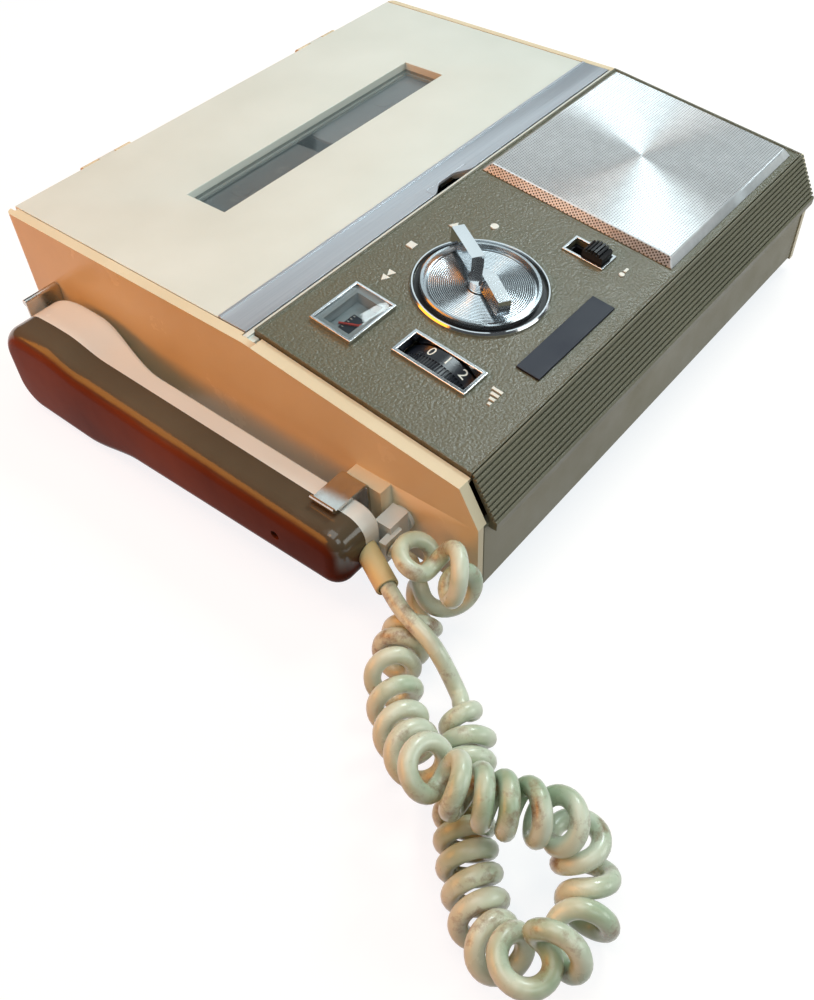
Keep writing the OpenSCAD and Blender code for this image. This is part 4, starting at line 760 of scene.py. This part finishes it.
def panel_block(name, outlines, low, high, finish, slot):
    """Flat blocks on the panel: outlines are in (x, v), and low and high are heights along n."""
    bm = bmesh.new()
    for outline in outlines:
        under = [bm.verts.new(on_panel(x, v, low)) for x, v in outline]
        over = [bm.verts.new(on_panel(x, v, high)) for x, v in outline]
        bm.faces.new(over)
        bm.faces.new(under[::-1])
        bridge(bm, [under, over])
    finish_piece(solid_object(name, bm, finish), "case", slot)


def box_outline(x, v, x2, v2):
    return [(x, v), (x2, v), (x2, v2), (x, v2)]


def arrow_outline(x, v, size, way):
    """A triangle that points along x, way 1, or back, way -1."""
    half = size / 2
    return [(x - way * half, v - half), (x + way * half, v), (x - way * half, v + half)]


def dot_outline(x, v, r):
    sides = 20
    turns = (2 * math.pi * k / sides for k in range(sides))
    return [(x + r * math.cos(a), v + r * math.sin(a)) for a in turns]


def make_marks(finish):
    """Raised plain signs at their places in (x, v): wind back, stop, run, record, louder and switch ends."""
    size, proud, sunk = 3.0, 0.4, 0.1
    half = size / 2
    bar_x, bar_w, bar_step, bar_low, bar_top, bar_grow = 30.4, 1.1, 2.0, 11.9, 13.1, 0.9
    bars = [(bar_x + bar_step * k, bar_top + bar_grow * k) for k in range(4)]
    signs = {
        "mark_back": [arrow_outline(52.4, 72.5, size, -1), arrow_outline(55.6, 72.5, size, -1)],
        "mark_stop": [box_outline(72 - half, 76.5 - half, 72 + half, 76.5 + half)],
        "mark_run": [arrow_outline(91, 72, size + 0.4, 1)],
        "mark_record": [dot_outline(100, 61.5, half)],
        "mark_louder": [box_outline(x, bar_low, x + bar_w, top) for x, top in bars],
        "mark_switch": [dot_outline(109.4, 14.3, 1.0), box_outline(111.2, 13.8, 113.4, 14.8)],
    }
    for name, outlines in signs.items():
        panel_block(name, outlines, PANEL_FACE - sunk, PANEL_FACE + proud, finish["white_mark"], "case_cream")


def make_digits(finish):
    """Plain numbers round the volume wheel, laid on its drum."""
    band_x, size, proud = 36.0, 5.4, 0.12
    first, step = 104.0, 20.0
    r = WHEEL_R + proud
    for k, digit in enumerate("012345678"):
        curve = bpy.data.curves.new("digit_" + digit, "FONT")
        curve.body = digit
        curve.size = size
        curve.align_x = curve.align_y = "CENTER"
        flat = bpy.data.objects.new("digit_flat", curve)
        bpy.context.collection.objects.link(flat)
        graph = bpy.context.evaluated_depsgraph_get()
        mesh = bpy.data.meshes.new_from_object(flat.evaluated_get(graph))
        bpy.data.objects.remove(flat)
        start = math.radians(first - step * k)
        for vert in mesh.vertices:
            turn = start - vert.co.x / WHEEL_R
            v, n = WHEEL_V - r * math.cos(turn), WHEEL_N + r * math.sin(turn)
            vert.co = on_panel(band_x + vert.co.y, v, n)
        mesh.materials.clear()
        mesh.materials.append(finish["white_mark"].mat)
        obj = bpy.data.objects.new("wheel_digit_" + digit, mesh)
        bpy.context.collection.objects.link(obj)
        finish_piece(obj, "volume", "case_cream")


def meter_outline(x, v, x2, v2):
    """A box in millimetres from the meter's left front corner."""
    return box_outline(METER_X + x, METER_V + v, METER_X + x2, METER_V + v2)


def make_meter_scale(finish):
    """Silver card with a dark label, ticks, a pale field and an orange end mark, under the cover."""
    well, floor_n, thick = 3.5, -2.38, 0.14
    card = floor_n + thick
    board = [meter_outline(well, well, METER_W - well, METER_D - well)]
    panel_block("meter_card", board, floor_n, card, finish["meter_silver"], "steel_parts")
    ticks, tick_from, tick_step = 7, 4.6, 1.5
    tick_w, tick_low, tick_top = 0.25, 9.6, 10.4
    tick_x = [tick_from + tick_step * k for k in range(ticks)]
    tick_row = [meter_outline(x, tick_low, x + tick_w, tick_top) for x in tick_x]
    layers = (
        ("meter_label", [meter_outline(3.7, 5.5, 14.5, 10.8)], 0.05, "dark_enamel", "badge_dark"),
        ("meter_ticks", tick_row, 0.09, "white_mark", "case_cream"),
        ("meter_field", [meter_outline(5.8, 3.6, 14.5, 5.4)], 0.06, "white_mark", "case_cream"),
        ("meter_end_mark", [meter_outline(3.7, 3.6, 5.4, 5.2)], 0.1, "orange_paint", "needle_red"),
    )
    for name, outlines, proud, look, slot in layers:
        panel_block(name, outlines, card, card + proud, finish[look], slot)


def make_meter_frame(finish):
    """Thin bright frame round the meter's cover."""
    wall, tall, ease = 1.0, 1.7, 0.2
    bm = bmesh.new()
    rings = []
    for inset, n in ((0.0, 0.0), (0.0, tall), (wall, tall), (wall, 0.0)):
        outline = meter_outline(inset, inset, METER_W - inset, METER_D - inset)
        rings.append([bm.verts.new(on_panel(x, v, PANEL_FACE + n)) for x, v in outline])
    bridge(bm, rings, close=True)
    obj = ease_edges(solid_object("meter_frame_thin", bm, finish["chrome"]), ease)
    finish_piece(obj, "case", "chrome_trim", "meter_frame")


def make_meter_cover(finish):
    """Clear cover crowned both ways, thin enough to show the scale."""
    inset, foot, thick, steps = 1.05, PANEL_FACE + 0.98, 0.35, 20
    rise, end_fall = 1.5, 0.35
    middle_x, middle_v = METER_X + METER_W / 2, METER_V + METER_D / 2
    half_w, half_d = METER_W / 2 - inset, METER_D / 2 - inset
    shares = [2 * k / steps - 1 for k in range(steps + 1)]
    bm = bmesh.new()

    def skin(drop):
        """Lays one face of the cover and returns the points round its edge."""
        rows = []
        for across in shares:
            crowns = [rise * (1 - across ** 2) * (1 - end_fall * along ** 2) for along in shares]
            rows.append([bm.verts.new(on_panel(middle_x + along * half_w, middle_v + across * half_d,
                                               foot + crown - drop))
                         for along, crown in zip(shares, crowns)])
        bridge(bm, rows, wrap=False)
        right, left = [row[-1] for row in rows[1:-1]], [row[0] for row in rows[1:-1]]
        return rows[0] + right + rows[-1][::-1] + left[::-1]

    bridge(bm, [skin(0.0), skin(thick)])
    cover = solid_object("meter_cover", bm, finish["clear_cover"])
    finish_piece(cover, "case", "clear_cover", "meter_lens")


def make_wheel(finish):
    """Volume wheel: a finely ribbed finger band beside a smooth band for the numbers, on its shaft."""
    left, band, step, width = 29.9, 3.4, 0.02, 8.6
    rib, ribs = 0.45, 96
    shaft_r, shaft_sides, shaft_left, shaft_right = 2.0, 24, 1.0, 8.0
    bm = bmesh.new()

    def ring(x, radii):
        turns = [2 * math.pi * k / len(radii) for k in range(len(radii))]
        return [bm.verts.new(on_panel(x, WHEEL_V + r * math.cos(a), WHEEL_N + r * math.sin(a)))
                for r, a in zip(radii, turns)]

    def solid(rings):
        bridge(bm, rings)
        bm.faces.new(rings[0])
        bm.faces.new(rings[-1])

    ribbed = [WHEEL_R, WHEEL_R, WHEEL_R - rib, WHEEL_R - rib] * ribs
    smooth = [WHEEL_R] * len(ribbed)
    shaft = [shaft_r] * shaft_sides
    solid([ring(left, ribbed), ring(left + band, ribbed),
           ring(left + band + step, smooth), ring(left + width, smooth)])
    solid([ring(left - shaft_left, shaft), ring(left + width + shaft_right, shaft)])
    wheel = solid_object("volume_wheel_ribbed", bm, finish["wheel_black"])
    finish_piece(wheel, "volume", "black_plastic", "volume_wheel")


def make_notch(finish):
    """Arch round the lid's finger notch: a plate fills its corners, and a bright edge turns down along it."""
    x, y, w, depth, gap = 101.0, 95.7, 23.0, 3.6, 4.0
    top, proud, sheet, drop, thick = 55.4, 0.19, 0.8, 2.5, 0.5
    steps, shoulder = 40, 0.36
    shares = [k / steps for k in range(steps + 1)]
    arch = [(x + w * t, y + depth * ramp01(min(t, 1 - t) / shoulder)) for t in shares]

    def ribbon(name, back, low, high, look):
        bm = bmesh.new()
        lines = ((arch, low), (arch, high), (back, high), (back, low))
        loops = [[bm.verts.new(at(px, py, z)) for px, py in line] for line, z in lines]
        bridge(bm, loops, wrap=False, close=True)
        for k in (0, -1):
            bm.faces.new([loop[k] for loop in loops])
        finish_piece(solid_object(name, bm, finish[look]), "lid", "lid_strip")

    straight = [(px, y + gap) for px, py in arch]
    inside = [(px, min(py + thick, y + gap)) for px, py in arch]
    ribbon("notch_plate", straight, top - sheet, top + proud, "satin_strip")
    ribbon("notch_edge", inside, top - drop, top - sheet, "chrome")


# Handset: two lofted halves

def hs_upper(y):
    """Height of the top edge: a faint rise along the grip, a swell to the ear end and a small fall."""
    rise, grip, grip_end = 0.014, 40, 150
    swell, swell_from, swell_len = 3.0, 148, 20
    fall, fall_from, fall_len = 1.2, 172, 24
    return (HS_TOP + rise * (min(y, grip_end) - grip) + swell * ramp01((y - swell_from) / swell_len)
            - fall * ramp01((y - fall_from) / fall_len))


def hs_lower(y):
    """Height of the bottom edge: a faint fall along the grip and a swell to the ear end."""
    fall, grip, grip_end = 0.05, 30, 135
    swell, swell_from, swell_len = 6.3, 126, 30
    return HS_LOW - fall * (min(y, grip_end) - grip) - swell * ramp01((y - swell_from) / swell_len)


def hs_inner_x(y):
    """Distance of the face from the case: the ear end comes nearer, and its tip turns back a little."""
    near_from, near_len = 126, 40
    tip, tip_from, tip_len = 0.45, 178, 22
    near = ramp01((y - near_from) / near_len) - tip * ramp01((y - tip_from) / tip_len)
    return HS_IN - (HS_IN - HS_EAR) * near


def end_drop(d, r):
    """How far a rounded end of radius r falls off at a distance d from its tip."""
    return 0.0 if d >= r else r - math.sqrt(max(0.0, r * r - (r - d) ** 2))


def hs_stations(inset):
    """Places along y, closer together round the two ends."""
    front = HS_Y + HS_FRONT_R
    rear = HS_Y2 - HS_REAR_R
    bend = [1 - math.cos(math.pi / 2 * k / HS_ARC) for k in range(HS_ARC)]
    return ([HS_Y + inset + (HS_FRONT_R - inset) * b for b in bend]
            + [front + (rear - front) * k / HS_STEPS for k in range(HS_STEPS + 1)]
            + [HS_Y2 - inset - (HS_REAR_R - inset) * b for b in reversed(bend)])


def hs_edge(y, inset, upper):
    """Height of the top or bottom edge at y, drawn in by inset."""
    drop = (inset + end_drop(y - HS_Y - inset, HS_FRONT_R - inset)
            + end_drop(HS_Y2 - inset - y, HS_REAR_R - inset))
    return hs_upper(y) - drop if upper else hs_lower(y) + drop


def handset_half(name, layers, place_x, finish):
    """Closed loft through layers of (position across, inset); place_x turns a position into x at y."""
    bm = bmesh.new()
    loops = []
    for across, inset in layers:
        ys = hs_stations(inset)
        top = [bm.verts.new(at(place_x(across, y), y, hs_edge(y, inset, True))) for y in ys]
        low = [bm.verts.new(at(place_x(across, y), y, hs_edge(y, inset, False))) for y in reversed(ys)]
        loops.append(top + low)
    bridge(bm, loops)
    n = len(loops[0])
    for loop in (loops[0], loops[-1]):
        for k in range(n // 2 - 1):
            bm.faces.new((loop[k], loop[k + 1], loop[n - 2 - k], loop[n - 1 - k]))
    return solid_object(name, bm, finish, smooth=50.0)


def cut_round(obj, finish, place, radius, depth):
    """Cuts a round recess along X into a piece, with its mouth at place."""
    sides, sharp = 32, 35.0
    bm = bmesh.new()
    turn = Matrix.Rotation(math.pi / 2, 4, "Y")
    bmesh.ops.create_cone(bm, cap_ends=True, segments=sides, radius1=radius * MM, radius2=radius * MM,
                          depth=2 * depth * MM, matrix=Matrix.Translation(at(*place)) @ turn)
    cutter = new_object("cutter", bm, finish)
    cut = obj.modifiers.new("recess", "BOOLEAN")
    cut.object = cutter
    cut.solver = "EXACT"
    bake_modifiers(obj)
    obj.data.set_sharp_from_angle(angle=math.radians(sharp))
    bpy.data.objects.remove(cutter)


def make_handset(finish):
    screw_y, screw_z, screw_r, screw_deep = 56, 17, 1.7, 3.0
    soft, flank = 1.5, 0.82
    turns = [math.pi / 2 * k / HS_ROUND_STEPS for k in range(HS_ROUND_STEPS + 1)]
    back = [(-HS_OUT + HS_ROUND * (1 - math.sin(a)), HS_ROUND * (1 - math.cos(a))) for a in turns]
    shell = handset_half("handset_back_half", [(-HS_PART, 0.0)] + back, lambda x, y: x, finish["brown_gloss"])
    cut_round(shell, finish["brown_gloss"], (-HS_OUT, screw_y, screw_z), screw_r, screw_deep)
    finish_piece(shell, "handset", "handset_brown", "handset_shell")
    face = [(flank + (1 - flank) * math.sin(a), soft * (1 - math.cos(a))) for a in turns]
    inner = handset_half("handset_face_half", [(0.0, 0.0)] + face,
                         lambda share, y: -HS_PART + share * (HS_PART - hs_inner_x(y)),
                         finish["cream_handset"])
    finish_piece(inner, "handset", "handset_cream", "handset_inner")
    eased("ear_cap", "handset", "handset_cream", finish["cream_handset"], 0.8, 3)
    eased("mic_cap", "handset", "handset_cream", finish["cream_handset"], 1.2, 3)
    eased("strain_relief", "handset", "relief_cream", finish["aged_relief"], 0.4)
    dress(finish["spring_steel"], "handset_screw", "capsules")


# Case, lid and trim

def make_front_clip(finish):
    """Spring strap: a shelf under the handset, a back on the wall and a strap over it with a rolled lip."""
    y, y2, thick, bend = 38.0, 47.7, 1.0, 2.0
    shelf_x, shelf_z, back_x, strap_z = -25.9, 5.3, -5.5, 30.9
    lip_x, lip_z, lip_r = -19.6, 32.0, 1.1
    line = [(shelf_x, shelf_z), (back_x - bend, shelf_z)]
    line += arc_points(back_x - bend, shelf_z + bend, bend, -90, 0)
    line += arc_points(back_x - bend, strap_z - bend, bend, 0, 90)
    line += arc_points(lip_x, lip_z, lip_r, 270, 140)
    strap = bent_strip("front_clip_strap", line, thick, y, y2, finish["worn_chrome"])
    finish_piece(strap, "case", "steel_parts", "front_clip")


def make_case(finish):
    eased("bottom_case", "case", "case_cream", finish["cream_case"], 0.5)
    eased("cross_rail", "case", "case_cream", finish["cream_lid"], 0.3)
    eased("front_panel", "case", "front_olive", finish["olive_front"], 0.4)
    eased("rib_trim", "case", "trim_olive", finish["olive_trim"], 0.15)
    eased("control_panel", "case", "panel_olive", finish["olive_panel"], 0.25)
    eased("badge_plate", "case", "badge_dark", finish["dark_enamel"], 0.2)
    make_grille(finish)
    eased("battery_door", "battery_flap", "case_cream", finish["cream_case"], 0.4)
    eased("feet", "case", "rubber_black", finish["dark_rubber"], 0.6)
    eased("lid_shell", "lid", "lid_cream", finish["cream_lid"], 0.5, 3)
    eased("lid_trim", "lid", "lid_strip", finish["satin_strip"], 0.2)
    make_notch(finish)
    make_front_clip(finish)
    eased("back_clip", "case", "steel_parts", finish["worn_chrome"], 0.25)
    eased("cord_plug", "case", "handset_cream", finish["plug_white"], 1.2, 3)
    dress(finish["smoked_pane"], "lid_window")
    dress(finish["spring_steel"], "hinge_pins", "case_screws")


def make_dish(finish):
    """Spun dish: a raised rim round a floor of fine rings, and a black ring at the foot of the gap between it
    and the bezel, painted shade for that gap.
    """
    bore_r, under, floor_n = 3.05, 0.4, 1.1
    ring_from, ring_to, rings, ring_h, flank_h = 5.0, 18.0, 19, 0.14, 0.098
    rim_foot, rim_r, rim_flat, dish_r, rim_n, edge_n = 18.9, 19.4, 20.3, 20.7, 2.6, 2.2
    gap_r, gap_r2, gap_n, gap_n2 = 20.2, 22.4, 0.02, 0.12
    dish_sides, gap_sides = 128, 96
    pitch = (ring_to - ring_from) / rings
    profile = [(bore_r, under), (bore_r, floor_n)]
    for k in range(rings):
        heights = (0.0, flank_h, ring_h, flank_h)
        profile += [(ring_from + (k + q / 4) * pitch, floor_n + h) for q, h in enumerate(heights)]
    profile += [(ring_to, floor_n), (rim_foot, floor_n), (rim_r, rim_n), (rim_flat, rim_n),
                (dish_r, edge_n), (dish_r, under)]
    seat = PANEL @ Matrix.Translation((*SELECTOR, PANEL_FACE))
    dish = turned("selector_dish_spun", profile, dish_sides, seat, finish["spun_dish"])
    finish_piece(dish, "selector", "chrome_trim", "selector_dish")
    # Painted shade: a black ring laid in the gap stands in for the shadow seen there.
    ring = box_outline(gap_r, gap_n, gap_r2, gap_n2)
    gap = turned("selector_gap_shade", ring, gap_sides, seat, finish["black_plastic"])
    finish_piece(gap, "case", "black_plastic")


def make_controls(finish):
    make_meter_frame(finish)
    eased("volume_frame", "case", "chrome_trim", finish["chrome"], 0.25)
    eased("switch_frame", "case", "chrome_trim", finish["chrome"], 0.15)
    eased("selector_knob", "selector", "chrome_trim", finish["chrome"], 0.35)
    dress(finish["chrome"], "selector_ring")
    make_dish(finish)
    make_wheel(finish)
    dress(finish["black_plastic"], "switch_slider", "switch_body")
    make_digits(finish)
    make_meter_scale(finish)
    make_marks(finish)
    dress(finish["meter_silver"], "meter_case")
    make_meter_cover(finish)
    dress(finish["red_paint"], "meter_needle")
    dress(finish["brown_board"], "selector_switch")
    dress(finish["spring_steel"], "volume_pot")
    dress(finish["paper_cone"], "speaker")


def make_works(finish):
    dress(finish["deck_grey"], "deck_plate")
    dress(finish["reel_clear"], "supply_reel", "takeup_reel", "supply_spindle", "takeup_spindle")
    dress(finish["tape"], "supply_tape", "takeup_tape", "tape_strip")
    dress(finish["chrome"], "tape_guides", "tape_heads", "capstan")
    dress(finish["spring_steel"], "pinch_arm")
    dress(finish["dark_rubber"], "pinch_roller", "drive_belt")
    dress(finish["turned_brass"], "flywheel", "motor_pulley")
    dress(finish["motor_can"], "motor")
    dress(finish["brown_board"], "circuit_board")
    dress(finish["cell_jacket"], "battery_cells")


# Making: the camera and the cord come first

add_camera()
make_floor()
make_world()
make_lights()
finishes = make_finishes()
make_cord(finishes)
make_handset(finishes)
make_case(finishes)
make_controls(finishes)
make_works(finishes)

view = bpy.context.scene.view_settings
view.view_transform = "Standard"
